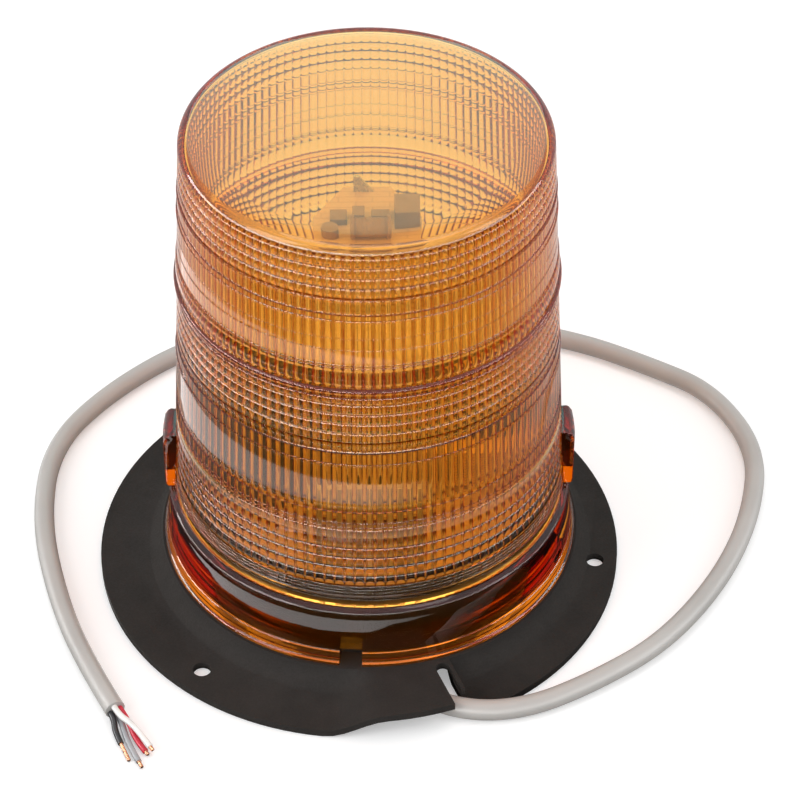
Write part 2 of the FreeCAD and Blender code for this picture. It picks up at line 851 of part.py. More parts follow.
# The stripped conductors lie fanned out on the floor beyond the jacket's end
CONDUCTOR_ROUTES = {
    "conductor_black": [
        (-75.5, -76.65, 2.7),
        (-74.1, -79.8, 2.7),
        (-73.9, -82.8, 1.3),
        (-71.8, -87.6, 1.0),
    ],
    "conductor_grey": [
        (-73.9, -75.86, 1.75),
        (-72.05, -79.4, 1.75),
        (-70.6, -84.6, 1.05),
        (-68.4, -90.0, 1.0),
        (-66.1, -94.8, 1.0),
    ],
    "conductor_red": [
        (-72.75, -75.26, 3.4),
        (-70.85, -78.8, 3.4),
        (-69.4, -80.8, 2.0),
        (-67.5, -85.9, 1.15),
        (-64.3, -90.8, 1.0),
    ],
    "conductor_white": [
        (-74.3, -76.07, 4.7),
        (-72.45, -79.6, 4.7),
        (-69.0, -82.4, 4.6),
        (-66.0, -86.0, 3.9),
        (-62.8, -90.4, 2.7),
    ],
}


def make_cable():
    radii = []
    cable, length = swept("cable", CABLE_ROUTE, cable_radius.value, show=radii)
    section = math.pi * cable_radius.value ** 2
    print("cable length", round(length, 1), "volume over section", round(cable.Shape.Volume / section, 1))
    print("cable bend radii", [round(radius, 1) for radius in radii])
    return cable


def make_conductors():
    """Four stripped conductors, and the bare strands beyond their insulation."""
    strands = []
    for label, route in CONDUCTOR_ROUTES.items():
        wire, _ = swept(label + "_wire", route, S["conductor_radius"].value)
        node(wire, label)
        tip = Vector(*route[-1])
        heading = (tip - Vector(*route[-2])).normalize()
        strand = doc.addObject("Part::Feature", label + "_strand")
        length = S[label.replace("conductor", "bare")].value
        strand.Shape = Part.makeCylinder(S["strand_radius"].value, length, tip, heading)
        strands.append(strand)
    return group("strand_set", strands)


def make_feed_wires():
    """Four wires from the jacket's end up through the board to the terminal block."""
    low = CABLE_ROUTE[0][2]
    side = terminal_front().value
    entry = board_top.value + 6.0
    wires = []
    for index in range(4):
        across = index - 1.5
        x = axis_x.value + across * 1.7
        y = S["grommet_offset"].value
        goal = axis_x.value + across * 5.5
        path = [(x, y, low), (x, y, entry - 4), (goal, side - 5.0, entry), (goal, side, entry)]
        wire, _ = swept(f"feed_wire_{index}", path, S["feed_radius"].value)
        wires.append(wire)
    return group("feed_wire_set", wires)


def terminal_front():
    """Y of the terminal block's wire side."""
    return S["grommet_offset"] + S["board_passage_radius"] + 7


def make_board():
    disc = cylinder("board_disc", S["board_radius"], S["board_thickness"], axis_x, ZERO, S["board_height"])
    low = S["board_height"] - 1
    passage = S["board_passage_radius"]
    tools = [cylinder("board_passage", passage, sized(6), axis_x, S["grommet_offset"], low)]
    hole = S["screw_radius"] + S["screw_clearance"]
    for index in range(4):
        x, y = polar(S["standoff_circle"], 45 + 90 * index)
        tools.append(cylinder(f"board_hole_{index}", hole, sized(6), axis_x + x, y, low))
    for index in range(3):
        x, y = polar(pillar_circle, S["pillar_first_angle"] + 120 * index)
        tools.append(cylinder(f"pillar_hole_{index}", hole, sized(6), axis_x + x, y, low))
    return cut("board", disc, tools)


def make_standoffs():
    low = plateau_top + S["base_floor"]
    made = []
    for index in range(4):
        x, y = polar(S["standoff_circle"], 45 + 90 * index)
        tall = S["board_height"] - low
        post = cylinder(f"standoff_post_{index}", S["standoff_radius"], tall, axis_x + x, y, low)
        hole = S["screw_radius"] + S["screw_clearance"]
        bore = cylinder(f"standoff_bore_{index}", hole, S["board_height"], axis_x + x, y, low - 1)
        made.append(cut(f"standoff_{index}", post, [bore]))
    return group("standoff_set", made)


def make_board_screws():
    made = []
    for index in range(4):
        x, y = polar(S["standoff_circle"], 45 + 90 * index)
        length = S["board_screw_length"]
        made.append(screw(f"board_screw_{index}", length, axis_x + x, y, board_top, upwards=False))
    return group("board_screw_set", made)


def make_capacitor():
    radius = S["capacitor_radius"]
    high = S["deck_height"] - board_top - S["capacitor_headroom"]
    return turned(
        "capacitor",
        [
            (ZERO, ZERO),
            (radius - 0.6, ZERO),
            (radius, sized(0.6)),
            (radius, sized(3.0)),
            (radius - 0.8, sized(3.8)),
            (radius, sized(4.6)),
            (radius, high - 1),
            (radius - 1, high),
            (radius - 2.2, high),
            (radius - 2.4, high - 0.5),
            (ZERO, high - 0.5),
        ],
        axis_x - S["capacitor_across"],
        -S["capacitor_front"],
        board_top,
    )


def make_transformer():
    """Ferrite frame round a wound bobbin, standing on the board."""
    wide = S["transformer_width"]
    deep = S["transformer_depth"]
    high = S["transformer_height"]
    leg = S["core_thickness"]
    x = axis_x + S["transformer_across"] - wide / 2
    y = -S["transformer_front"] - deep / 2
    thick = S["core_depth"]
    yoke = S["core_yoke"]
    core_y = y + (deep - thick) / 2
    frame = box("core_frame", wide, thick, high, x, core_y, board_top)
    inner_x = x + yoke
    open_wide = wide - yoke * 2
    open_high = high - yoke * 2
    window_foot = board_top + yoke
    window = box("core_window", open_wide, leg * 3, open_high, inner_x, core_y - leg / 2, window_foot)
    middle_x = x + wide / 2 - leg / 2
    middle = box("core_middle", leg, thick, high - yoke, middle_x, core_y, board_top + yoke / 2)
    core = fuse("core", [cut("core_open", frame, [window]), middle])
    clear = S["winding_clearance"]
    coil_x = inner_x + clear
    coil_z = window_foot + clear
    coil = box("coil_block", open_wide - clear * 2, deep, open_high - clear * 2, coil_x, y, coil_z)
    hole = box(
        "coil_hole",
        leg + clear * 2,
        thick + clear * 2,
        high + 2,
        x + wide / 2 - leg / 2 - clear,
        core_y - clear,
        board_top - 1,
    )
    return core, cut("winding", coil, [hole])


def make_heat_sink():
    """Plate with fins, standing on the board at the front."""
    wide = S["sink_width"]
    high = S["sink_height"]
    thin = S["fin_thickness"]
    x = axis_x - wide / 2
    y = -sink_back
    count = 7
    parts = [box("sink_plate", wide, S["sink_plate_thickness"], high, x, y, board_top)]
    pitch = (wide - thin) / (count - 1)
    for index in range(count):
        spot = (x + pitch * index, y - S["fin_depth"], board_top)
        parts.append(box(f"fin_{index}", thin, S["fin_depth"], high, *spot))
    return fuse("sink", parts)


def make_transistor():
    """Flat power transistor against the heat sink's plate."""
    wide = S["transistor_width"]
    deep = S["transistor_depth"]
    tall = S["transistor_tab_height"]
    x = axis_x - wide / 2
    y = S["sink_plate_thickness"] - sink_back
    foot = board_top + S["transistor_stand"]
    tab = box("transistor_tab", wide, S["transistor_tab_thickness"], tall, x, y, foot)
    body = box("transistor_body", wide, deep, S["transistor_height"], x, y, foot)
    leg = S["transistor_leg_width"]
    legs = []
    for index in range(3):
        middle = axis_x + S["transistor_leg_pitch"] * (index - 1)
        spot = (middle - leg / 2, y + deep / 2, board_top)
        legs.append(box(f"transistor_leg_{index}", leg, leg, S["transistor_stand"] + 0.2, *spot))
    eye_height = foot + tall - S["transistor_eye_drop"]
    crosswise = {"axis": Vector(1, 0, 0), "angle": sized(90)}
    spot = (axis_x, y + deep, eye_height)
    eye = cylinder("transistor_eye", S["transistor_eye_radius"], deep * 2, *spot, **crosswise)
    return cut("transistor", fuse("transistor_solid", [tab, body, *legs]), [eye])


def make_small_parts():
    """Filter capacitors and resistors between the large parts on the main board."""
    made = []
    across = S["filter_across"]
    back = S["filter_back"]
    spots = [(axis_x, -S["filter_front"]), (axis_x + across, back), (axis_x - across, back)]
    for index, (x, y) in enumerate(spots):
        made.append(cylinder(f"filter_{index}", S["filter_radius"], S["filter_height"], x, y, board_top))
    wide = S["resistor_width"]
    for index in range(3):
        spot = (axis_x - S["resistor_across"], S["resistor_start"] + S["resistor_pitch"] * index, board_top)
        made.append(box(f"resistor_{index}", S["resistor_length"], wide, wide, *spot))
    return group("small_parts", made)


def make_terminals():
    wide = S["terminal_width"]
    x = axis_x - wide / 2
    y = terminal_front() + 0.1
    block = box("terminal_body", wide, S["terminal_depth"], S["terminal_height"], x, y, board_top)
    tools = []
    screws = []
    for index in range(4):
        spot = (
            axis_x + S["terminal_pitch"] * (index - 1.5),
            y + S["terminal_screw_inset"],
            board_top + S["terminal_height"] - S["terminal_screw_depth"],
        )
        radius = S["terminal_screw_radius"]
        tools.append(cylinder(f"terminal_well_{index}", radius + 0.1, S["terminal_screw_depth"] + 1, *spot))
        screws.append(cylinder(f"terminal_screw_{index}", radius, S["terminal_screw_height"], *spot))
    return cut("terminals", block, tools), group("terminal_screw_set", screws)


def make_pillars():
    made = []
    for index in range(3):
        x, y = polar(pillar_circle, S["pillar_first_angle"] + 120 * index)
        length = S["deck_height"] - board_top
        post = cylinder(f"pillar_post_{index}", S["pillar_radius"], length, axis_x + x, y, board_top)
        hole = S["screw_radius"] + S["screw_clearance"]
        deep = S["pillar_bore_depth"]
        bore = cylinder(f"pillar_bore_{index}", hole, deep + 1, axis_x + x, y, S["deck_height"] - deep)
        made.append(cut(f"pillar_{index}", post, [bore]))
    return group("pillar_set", made)


# A plate bent by 45 degrees keeps its thickness when its inner corner is set back by this share of it
BEVEL_SHARE = math.tan(math.radians(22.5))


def make_deck():
    """Round tray that carries the lamp socket, with a turned-up edge."""
    radius = S["deck_radius"]
    thin = S["deck_thickness"]
    slope = S["deck_edge_slope"]
    edge = S["deck_edge_height"]
    inner_slope = slope + thin * BEVEL_SHARE
    tray = turned(
        "deck_tray",
        [
            (ZERO, ZERO),
            (radius - slope, ZERO),
            (radius, slope),
            (radius, edge),
            (radius - thin, edge),
            (radius - thin, inner_slope),
            (radius - inner_slope, thin),
            (ZERO, thin),
        ],
        axis_x,
        ZERO,
        S["deck_height"],
    )
    tools = []
    hole = S["screw_radius"] + S["screw_clearance"]
    for index in range(3):
        x, y = polar(pillar_circle, S["pillar_first_angle"] + 120 * index)
        tools.append(cylinder(f"deck_hole_{index}", hole, sized(8), axis_x + x, y, S["deck_height"] - 1))
    return cut("deck", tray, tools)


def make_deck_screws():
    made = []
    for index in range(3):
        x, y = polar(pillar_circle, S["pillar_first_angle"] + 120 * index)
        length = S["deck_screw_length"]
        made.append(screw(f"deck_screw_{index}", length, axis_x + x, y, deck_top, upwards=False))
    return group("deck_screw_set", made)


def make_socket():
    ring = turned(
        "socket_body",
        [
            (ZERO, ZERO),
            (S["socket_radius"] + S["socket_foot_width"], ZERO),
            (S["socket_radius"] + S["socket_foot_width"], S["socket_foot_height"]),
            (S["socket_radius"], S["socket_foot_height"]),
            (S["socket_radius"], S["socket_height"]),
            (ZERO, S["socket_height"]),
        ],
        axis_x,
        ZERO,
        deck_top,
    )
    tools = []
    for index in range(3):
        x, y = polar(S["pin_circle"], 90 + 120 * index)
        hole = S["pin_radius"] + S["pin_clearance"]
        tools.append(cylinder(f"pin_hole_{index}", hole, S["socket_height"], axis_x + x, y, deck_top + 1))
    return cut("socket", ring, tools)


def make_tube_base():
    """Round foot of the lamp head, with seats for the tube's legs."""
    adds = [cylinder("foot_disc", S["tube_base_radius"], S["tube_base_height"], axis_x, ZERO, head_foot)]
    clear = S["tube_seat_clearance"]
    seat = S["tube_seat_height"]
    for index, side in enumerate((-1, 1)):
        x = axis_x + S["tube_half_span"] * side
        bore = S["tube_radius"] + clear
        outer = cylinder(f"seat_outer_{index}", bore + S["tube_seat_wall"], seat, x, ZERO, head_top)
        inner = cylinder(f"seat_inner_{index}", bore, seat + 1, x, ZERO, head_top)
        adds.append(cut(f"tube_seat_{index}", outer, [inner]))
    return fuse("tube_foot", adds)


def make_pins():
    made = []
    for index in range(3):
        x, y = polar(S["pin_circle"], 90 + 120 * index)
        low = head_foot - S["pin_length"]
        made.append(cylinder(f"pin_{index}", S["pin_radius"], S["pin_length"], axis_x + x, y, low))
    return group("pin_set", made)


def make_flash_tube():
    """U-shaped glass tube with closed ends, and an electrode inside each leg."""
    span = S["tube_half_span"].value
    low = head_top.value
    straight = S["tube_leg"].value
    radius = S["tube_radius"].value
    bore = radius - S["tube_wall"].value
    x = axis_x.value
    left = Vector(x - span, 0, low)
    right = Vector(x + span, 0, low)
    rise = Vector(0, 0, straight)
    arc = Part.Arc(left + rise, Vector(x, 0, low + straight + span), right + rise).toShape()
    left_leg = Part.LineSegment(left, left + rise).toShape()
    right_leg = Part.LineSegment(right + rise, right).toShape()
    path = Part.Wire([left_leg, arc, right_leg])
    outer = path.makePipeShell([Part.Wire(Part.makeCircle(radius, left, Z_AXIS))], True, True)
    inner = path.makePipeShell([Part.Wire(Part.makeCircle(bore, left, Z_AXIS))], True, True)
    glass = doc.addObject("Part::Feature", "tube_glass")
    glass.Shape = outer.cut(inner)
    electrodes = []
    for index, side in enumerate((-1, 1)):
        spot = (axis_x + S["tube_half_span"] * side, ZERO, head_top)
        radius = S["electrode_radius"]
        electrodes.append(cylinder(f"electrode_{index}", radius, S["electrode_length"], *spot))
    return glass, group("electrode_set", electrodes)


def make_rods():
    made = []
    for index, side in enumerate((-1, 1)):
        y = S["rod_offset"] * side
        tall = top_board_foot - head_top
        made.append(cylinder(f"rod_{index}", S["rod_radius"], tall, axis_x, y, head_top))
    return group("rod_set", made)


def make_top_board():
    """Small board above the tube, narrower towards the back."""
    wide = S["top_board_half_width"]
    narrow = S["top_board_back_half_width"]
    front = -S["top_board_front"]
    side = S["top_board_side"]
    back = S["top_board_back"]
    outline = [(-wide, front), (wide, front), (wide, side), (narrow, back), (-narrow, back), (-wide, side)]
    return plate("top_board", outline, S["top_board_thickness"], axis_x, ZERO, top_board_foot)


# Across, back, width, depth and height of the parts in the row on the top board
TOP_CHIPS = [
    (-11.0, -1.0, 5.0, 5.0, 2.2),
    (-4.4, 0.0, 3.6, 4.6, 3.0),
    (1.2, 1.0, 5.4, 3.4, 1.8),
    (8.0, -2.0, 7.5, 9.0, 5.5),
]

# Across, back, radius and height of the round part beside them
TOP_CAN = (-11.0, -8.0, 2.6, 5.0)


def make_top_parts():
    """Components in a row along the top board, as the photograph shows them."""
    made = []
    for index, (x, y, wide, deep, high) in enumerate(TOP_CHIPS):
        spot = (axis_x + x, sized(y), top_board_top)
        made.append(box(f"top_chip_{index}", sized(wide), sized(deep), sized(high), *spot))
    x, y, radius, high = TOP_CAN
    made.append(cylinder("top_can", sized(radius), sized(high), axis_x + x, sized(y), top_board_top))
    return group("top_part_set", made)


def make_trigger_coil():
    radius = S["trigger_radius"]
    length = S["trigger_length"]
    cheek = S["trigger_cheek"]
    x = axis_x - 5
    y = sized(-8)
    z = top_board_top + radius
    lying = {"axis": Vector(0, 1, 0), "angle": sized(90)}
    parts = [cylinder("trigger_core", radius - 0.8, length, x, y, z, **lying)]
    for index in range(2):
        start = x + (length - cheek) * index
        parts.append(cylinder(f"trigger_end_{index}", radius, cheek, start, y, z, **lying))
    return fuse("trigger", parts)


def make_tab():
    """Upright bent tab on the board's rear edge."""
    wide = S["tab_width"]
    high = S["tab_height"]
    corners = [(ZERO, ZERO), (wide, ZERO), (S["tab_top_width"], high), (ZERO, high)]
    body = doc.addObject("PartDesign::Body", "tab")
    sketch = body.newObject("Sketcher::SketchObject", "tab_outline")
    sketch.AttachmentSupport = [(origin_plane(body, "XZ_Plane"), "")]
    sketch.MapMode = "FlatFace"
    draw_outline(sketch, [(x + 1, y + 1) for x, y in corners])
    doc.recompute()
    pad = body.newObject("PartDesign::Pad", "tab_pad")
    pad.Profile = sketch
    bind(pad, Length=S["tab_thickness"])
    body.Tip = pad
    return place(body, axis_x - 5, S["top_board_back"] - 1.5, top_board_top - 1)


node(make_flange(), "mounting_flange")
node(make_base(), "base_housing")
node(make_clamp_ring(), "clamp_ring")
node(make_clamp_screws(), "clamp_screws")
node(make_grommet(), "cable_grommet")
node(make_cable(), "supply_cable")
node(make_conductors(), "conductor_ends")
node(make_feed_wires(), "feed_wires")
node(make_board(), "main_circuit_board")
node(make_standoffs(), "board_standoffs")
node(make_board_screws(), "board_screws")
node(make_capacitor(), "storage_capacitor")
core, winding = make_transformer()
node(core, "transformer_core")
node(winding, "transformer_winding")
node(make_heat_sink(), "heat_sink")
node(make_transistor(), "switching_transistor")
node(make_small_parts(), "filter_components")
terminals, terminal_screws = make_terminals()
node(terminals, "terminal_block")
node(terminal_screws, "terminal_screws")
node(make_pillars(), "tower_pillars")
node(make_deck(), "tube_deck")
node(make_deck_screws(), "deck_screws")
node(make_socket(), "tube_socket")
node(make_tube_base(), "tube_base")
node(make_pins(), "tube_pins")
glass, electrodes = make_flash_tube()
node(glass, "flash_tube")
node(electrodes, "tube_electrodes")
node(make_rods(), "head_rods")
node(make_top_board(), "trigger_board")
node(make_top_parts(), "trigger_parts")
node(make_trigger_coil(), "trigger_coil")
node(make_tab(), "board_tab")
node(make_seal(), "lens_seal")
node(make_lens(), "lens")

doc.recompute()
for thing in doc.Objects:
    if {"Invalid", "Error"} & set(thing.State):
        raise SystemExit(f"{thing.Name} failed: {thing.State}")
os.makedirs("parts", exist_ok=True)
for thing in nodes:
    if thing.Shape.isNull() or not thing.Shape.isValid():
        raise SystemExit(f"{thing.Label} has no valid shape")
    thing.Shape.exportStep(f"parts/{thing.Label}.step")
    print(thing.Label, len(thing.Shape.Solids), round(thing.Shape.Volume / 1000, 2))
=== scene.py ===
"""Dresses the strobe light: amber lens, black base and flange, supply cable and the lamp head inside.

Lengths are in millimetres until a mesh is made, where they become metres in the shared frame.
"""

from __future__ import annotations

import logging
import math
from dataclasses import dataclass
from enum import Enum
from typing import Sequence

import bmesh
import bpy
import numpy as np
from mathutils import Matrix, Vector


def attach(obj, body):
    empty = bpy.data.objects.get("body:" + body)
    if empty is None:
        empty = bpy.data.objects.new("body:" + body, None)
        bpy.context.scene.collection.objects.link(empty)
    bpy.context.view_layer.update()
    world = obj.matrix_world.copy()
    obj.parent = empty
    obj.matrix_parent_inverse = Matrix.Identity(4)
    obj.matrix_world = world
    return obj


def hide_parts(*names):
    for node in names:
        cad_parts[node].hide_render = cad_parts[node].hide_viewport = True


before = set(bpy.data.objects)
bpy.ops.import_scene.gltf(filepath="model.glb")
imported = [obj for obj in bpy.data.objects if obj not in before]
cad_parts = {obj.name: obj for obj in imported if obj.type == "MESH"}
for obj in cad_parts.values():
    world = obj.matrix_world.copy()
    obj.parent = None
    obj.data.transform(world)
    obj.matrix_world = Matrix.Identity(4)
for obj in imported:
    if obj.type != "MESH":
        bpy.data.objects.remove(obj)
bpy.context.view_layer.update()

LOG = logging.getLogger("strobe_light")
MM = 0.001
AXIS_X = 3.4
LENS_FOOT = 9.7
Colour = tuple[float, float, float]
Point = tuple[float, float, float]
Points = Sequence[Point]
Mesh = tuple[np.ndarray, list]
Material = bpy.types.Material
Object = bpy.types.Object
Socket = bpy.types.NodeSocket


class Body(Enum):
    """The bodies that pieces ride on."""

    BASE = "base"
    HEAD = "lamp_head"
    SEAL = "seal"
    LENS = "lens"


class Recess(Enum):
    """What a screwdriver fits into."""

    CROSS = "cross"
    SLOT = "slot"


# Shapes


def link_mesh(name: str, points: np.ndarray, faces: list, sharp_degrees: float = 30.0) -> Object:
    """Puts a mesh into the scene, smooth but for edges that bend more than an angle.

    Args:
        name: name of the piece.
        points: one row of x, y and z for each vertex, in millimetres.
        faces: the vertices' numbers for each face.
        sharp_degrees: bend from which an edge stays sharp.

    Returns:
        The new object, at the origin.
    """
    mesh = bpy.data.meshes.new(name)
    mesh.from_pydata((np.asarray(points, float) * MM).tolist(), [], faces)
    mesh.update()
    return link_object(name, mesh, sharp_degrees)


def link_object(name: str, mesh: bpy.types.Mesh, sharp_degrees: float = 30.0) -> Object:
    """Makes an object of a mesh, with its faces turned outwards and shaded smooth.

    Args:
        name: name of the piece.
        mesh: the mesh, in metres.
        sharp_degrees: bend from which an edge stays sharp.

    Returns:
        The new object, at the origin.
    """
    work = bmesh.new()
    work.from_mesh(mesh)
    bmesh.ops.recalc_face_normals(work, faces=work.faces)
    work.to_mesh(mesh)
    work.free()
    mesh.polygons.foreach_set("use_smooth", np.ones(len(mesh.polygons), dtype=bool))
    mesh.set_sharp_from_angle(angle=math.radians(sharp_degrees))
    mesh.update()
    obj = bpy.data.objects.new(name, mesh)
    bpy.context.scene.collection.objects.link(obj)
    return obj


def grid_faces(
    rows: int, columns: int, wrap_rows: bool = False, wrap_columns: bool = False
) -> np.ndarray:
    """Four corners of every cell of a grid whose vertices are numbered row by row.

    Args:
        rows: number of rows of vertices.
        columns: number of vertices in a row.
        wrap_rows: whether the last row joins the first.
        wrap_columns: whether the last column joins the first.

    Returns:
        One row of four vertex numbers for each cell.
    """
    row = np.arange(rows if wrap_rows else rows - 1)[:, None]
    column = np.arange(columns if wrap_columns else columns - 1)[None, :]
    next_row = (row + 1) % rows
    next_column = (column + 1) % columns
    corners = [
        row * columns + column,
        row * columns + next_column,
        next_row * columns + next_column,
        next_row * columns + column,
    ]
    return np.stack(corners, axis=-1).reshape(-1, 4)


def join_meshes(parts: Sequence[Mesh]) -> Mesh:
    """One list of points and one of faces from several.

    Args:
        parts: points and faces of each.

    Returns:
        The points and faces of all.
    """
    points, faces, first = [], [], 0
    for some_points, some_faces in parts:
        points.append(some_points)
        faces += [[first + corner for corner in face] for face in some_faces]
        first += len(some_points)
    return np.concatenate(points), faces


def tube_mesh(path: np.ndarray, radius: float, sides: int = 12, side_of: Point = (0, 0, 1)) -> Mesh:
    """A round bar along a path, closed at both ends.

    At each point of the path a circle of the radius stands square to the run, spanned by the run's cross
    product with a fixed direction and the one square to both.

    Args:
        path: points in millimetres.
        radius: radius of the bar.
        sides: corners of its section.
        side_of: a direction that the path never runs along.

    Returns:
        Points and faces of the closed bar.
    """
    run = np.gradient(path, axis=0)
    run /= np.linalg.norm(run, axis=1)[:, None]
    across = np.cross(run, np.array(side_of, float))
    across /= np.linalg.norm(across, axis=1)[:, None]
    upward = np.cross(run, across)
    angle = np.linspace(0, 2 * np.pi, sides, endpoint=False)[None, :, None]
    ring = across[:, None, :] * np.cos(angle) + upward[:, None, :] * np.sin(angle)
    points = (path[:, None, :] + radius * ring).reshape(-1, 3)
    faces = grid_faces(len(path), sides, False, True).tolist()
    last = (len(path) - 1) * sides
    faces.append(list(range(sides))[::-1])
    faces.append(list(range(last, last + sides)))
    return points, faces


def nurbs_curve(name: str, route: Points, radius: float) -> Object:
    """A round cord on one smooth spline with the route's points as its control points.

    Args:
        name: name of the piece.
        route: control points in millimetres.
        radius: radius of the cord in millimetres.

    Returns:
        The curve object.
    """
    data = bpy.data.curves.new(name, "CURVE")
    data.dimensions = "3D"
    data.resolution_u = 16
    data.render_resolution_u = 16
    data.bevel_depth = radius * MM
    data.bevel_resolution = 6
    data.use_fill_caps = True
    spline = data.splines.new("NURBS")
    spline.points.add(len(route) - 1)
    for point, spot in zip(spline.points, route):
        point.co = (*(Vector(spot) * MM), 1.0)
    spline.order_u = 3
    spline.use_endpoint_u = True
    obj = bpy.data.objects.new(name, data)
    bpy.context.scene.collection.objects.link(obj)
    return obj


def copy_of_node(node: str, name: str, bevel: float = 0.2) -> Object:
    """A clean copy of a CAD node's mesh, with its sharp edges eased.

    Args:
        node: the node.
        name: name of the piece.
        bevel: width of the eased edges in millimetres, or 0 for none.

    Returns:
        The new object.
    """
    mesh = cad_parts[node].data.copy()
    mesh.name = name
    mesh.materials.clear()
    work = bmesh.new()
    work.from_mesh(mesh)
    bmesh.ops.remove_doubles(work, verts=work.verts, dist=2e-6)
    bmesh.ops.dissolve_limit(work, angle_limit=math.radians(0.4), verts=work.verts, edges=work.edges)
    work.to_mesh(mesh)
    work.free()
    obj = link_object(name, mesh)
    if bevel:
        eased = obj.modifiers.new("eased_edges", "BEVEL")
        eased.width = bevel * MM
        eased.segments = 2
        eased.limit_method = "ANGLE"
        eased.angle_limit = math.radians(40)
        eased.harden_normals = True
    return obj


# Finishes


class Bench:
    """Builds one material out of nodes."""

    def __init__(self, name: str) -> None:
        """Starts an empty material.

        Args:
            name: name of the material.
        """
        self.material = bpy.data.materials.new(name)
        self.material.use_nodes = True
        self.tree = self.material.node_tree
        self.tree.nodes.clear()
        self.output = self.add("OutputMaterial")
        self.place = self.add("TexCoord").outputs["Object"]

    def add(
        self, kind: str, inputs: dict[str | int, object] | None = None, **settings: object
    ) -> bpy.types.Node:
        """A new node.

        Args:
            kind: the node's type, without the word that all types start with.
            inputs: values or sockets for its inputs.
            settings: its properties.

        Returns:
            The node.
        """
        node = self.tree.nodes.new("ShaderNode" + kind)
        for key, value in settings.items():
            setattr(node, key, value)
        for key, value in (inputs or {}).items():
            self.feed(node, key, value)
        return node

    def feed(self, node: bpy.types.Node, socket: str | int, value: object) -> None:
        """Links a socket into a node's input, or sets the input to a plain value.

        Args:
            node: the node.
            socket: name or number of its input.
            value: an output socket, a number or a colour.
        """
        target = node.inputs[socket]
        if isinstance(value, bpy.types.NodeSocket):
            self.tree.links.new(value, target)
        elif isinstance(value, tuple) and len(value) == 3 and target.type == "RGBA":
            target.default_value = (*value, 1.0)
        else:
            target.default_value = value

    def noise(self, size: float, detail: float = 3.0, stretch: Point = (1, 1, 1)) -> Socket:
        """Soft noise whose lumps are about a size in millimetres.

        Args:
            size: width of a lump in millimetres.
            detail: how much finer noise it holds.
            stretch: how many times denser it is along x, y and z.

        Returns:
            The noise's value, about 0.5.
        """
        spread = self.add("Mapping", {"Vector": self.place, "Scale": stretch}).outputs[0]
        inputs = {"Vector": spread, "Scale": 1.0 / (size * MM), "Detail": detail}
        return self.add("TexNoise", inputs).outputs["Fac"]

    def ranged(
        self, value: Socket, low: float, high: float, from_low: float = 0.3, from_high: float = 0.7
    ) -> Socket:
        """A value spread from one range to another.

        Args:
            value: what is spread.
            low: new value at the lower end.
            high: new value at the upper end.
            from_low: the lower end.
            from_high: the upper end.

        Returns:
            The new value.
        """
        ends = {"From Min": from_low, "From Max": from_high, "To Min": low, "To Max": high}
        return self.add("MapRange", {**ends, "Value": value}).outputs[0]

    def blend(self, share: Socket | float, first: Colour | Socket, second: Colour | Socket) -> Socket:
        """A colour between two.

        Args:
            share: how much of the second colour shows.
            first: the first colour.
            second: the second colour.

        Returns:
            The blended colour.
        """
        return self.add("Mix", {0: share, 6: first, 7: second}, data_type="RGBA").outputs[2]

    def bump(self, height: Socket, depth: float, strength: float = 1.0) -> Socket:
        """A normal that follows a height.

        Args:
            height: the height, from 0 to 1.
            depth: how deep that is, in millimetres.
            strength: share of the effect.

        Returns:
            The bumped normal.
        """
        inputs = {"Strength": strength, "Distance": depth * MM, "Height": height}
        return self.add("Bump", inputs).outputs[0]

    def surface(self, inputs: dict[str, object]) -> Socket:
        """A principled shader, by its inputs."""
        return self.add("BsdfPrincipled", inputs).outputs[0]

    def lamps_pass(self, shader: Socket, tint: Colour) -> Socket:
        """A shader that lamps shine through, by being clear for their shadow rays.

        Args:
            shader: what every other ray finds.
            tint: colour of the light that passes.

        Returns:
            The mixed shader.
        """
        clear = self.add("BsdfTransparent", {"Color": tint}).outputs[0]
        shadow = self.add("LightPath").outputs["Is Shadow Ray"]
        return self.add("MixShader", {0: shadow, 1: shader, 2: clear}).outputs[0]

    def place_part(self, axis: int) -> Socket:
        """One coordinate of the place on the object, by the axis's number."""
        return self.add("SeparateXYZ", {0: self.place}).outputs[axis]

    def finish(self, shader: Socket) -> Material:
        """Puts the shader on the output and hands the material over.

        Args:
            shader: the surface's shader.

        Returns:
            The finished material.
        """
        self.feed(self.output, "Surface", shader)
        return self.material


@dataclass(frozen=True)
class Moulded:
    """Moulded plastic or rubber: an even colour with fine grain and a slight unevenness in shine."""

    name: str
    colour: Colour
    roughness: float = 0.45
    grain: float = 0.5
    grain_depth: float = 0.02
    mottle: float = 0.12
    mottle_size: float = 14.0
    shine: float = 0.5

    def material(self) -> Material:
        """The finish as a material."""
        bench = Bench(self.name)
        dark = tuple(part * (1 - self.mottle) for part in self.colour)
        light = tuple(min(1.0, part * (1 + self.mottle)) for part in self.colour)
        patch = bench.ranged(bench.noise(self.mottle_size), 0.0, 1.0)
        grain = bench.noise(self.grain, 4.0)
        low, high = self.roughness * 0.88, min(1.0, self.roughness * 1.12)
        return bench.finish(bench.surface({
            "Base Color": bench.blend(patch, dark, light),
            "Roughness": bench.ranged(grain, low, high),
            "Normal": bench.bump(grain, self.grain_depth),
            "Specular IOR Level": self.shine,
        }))


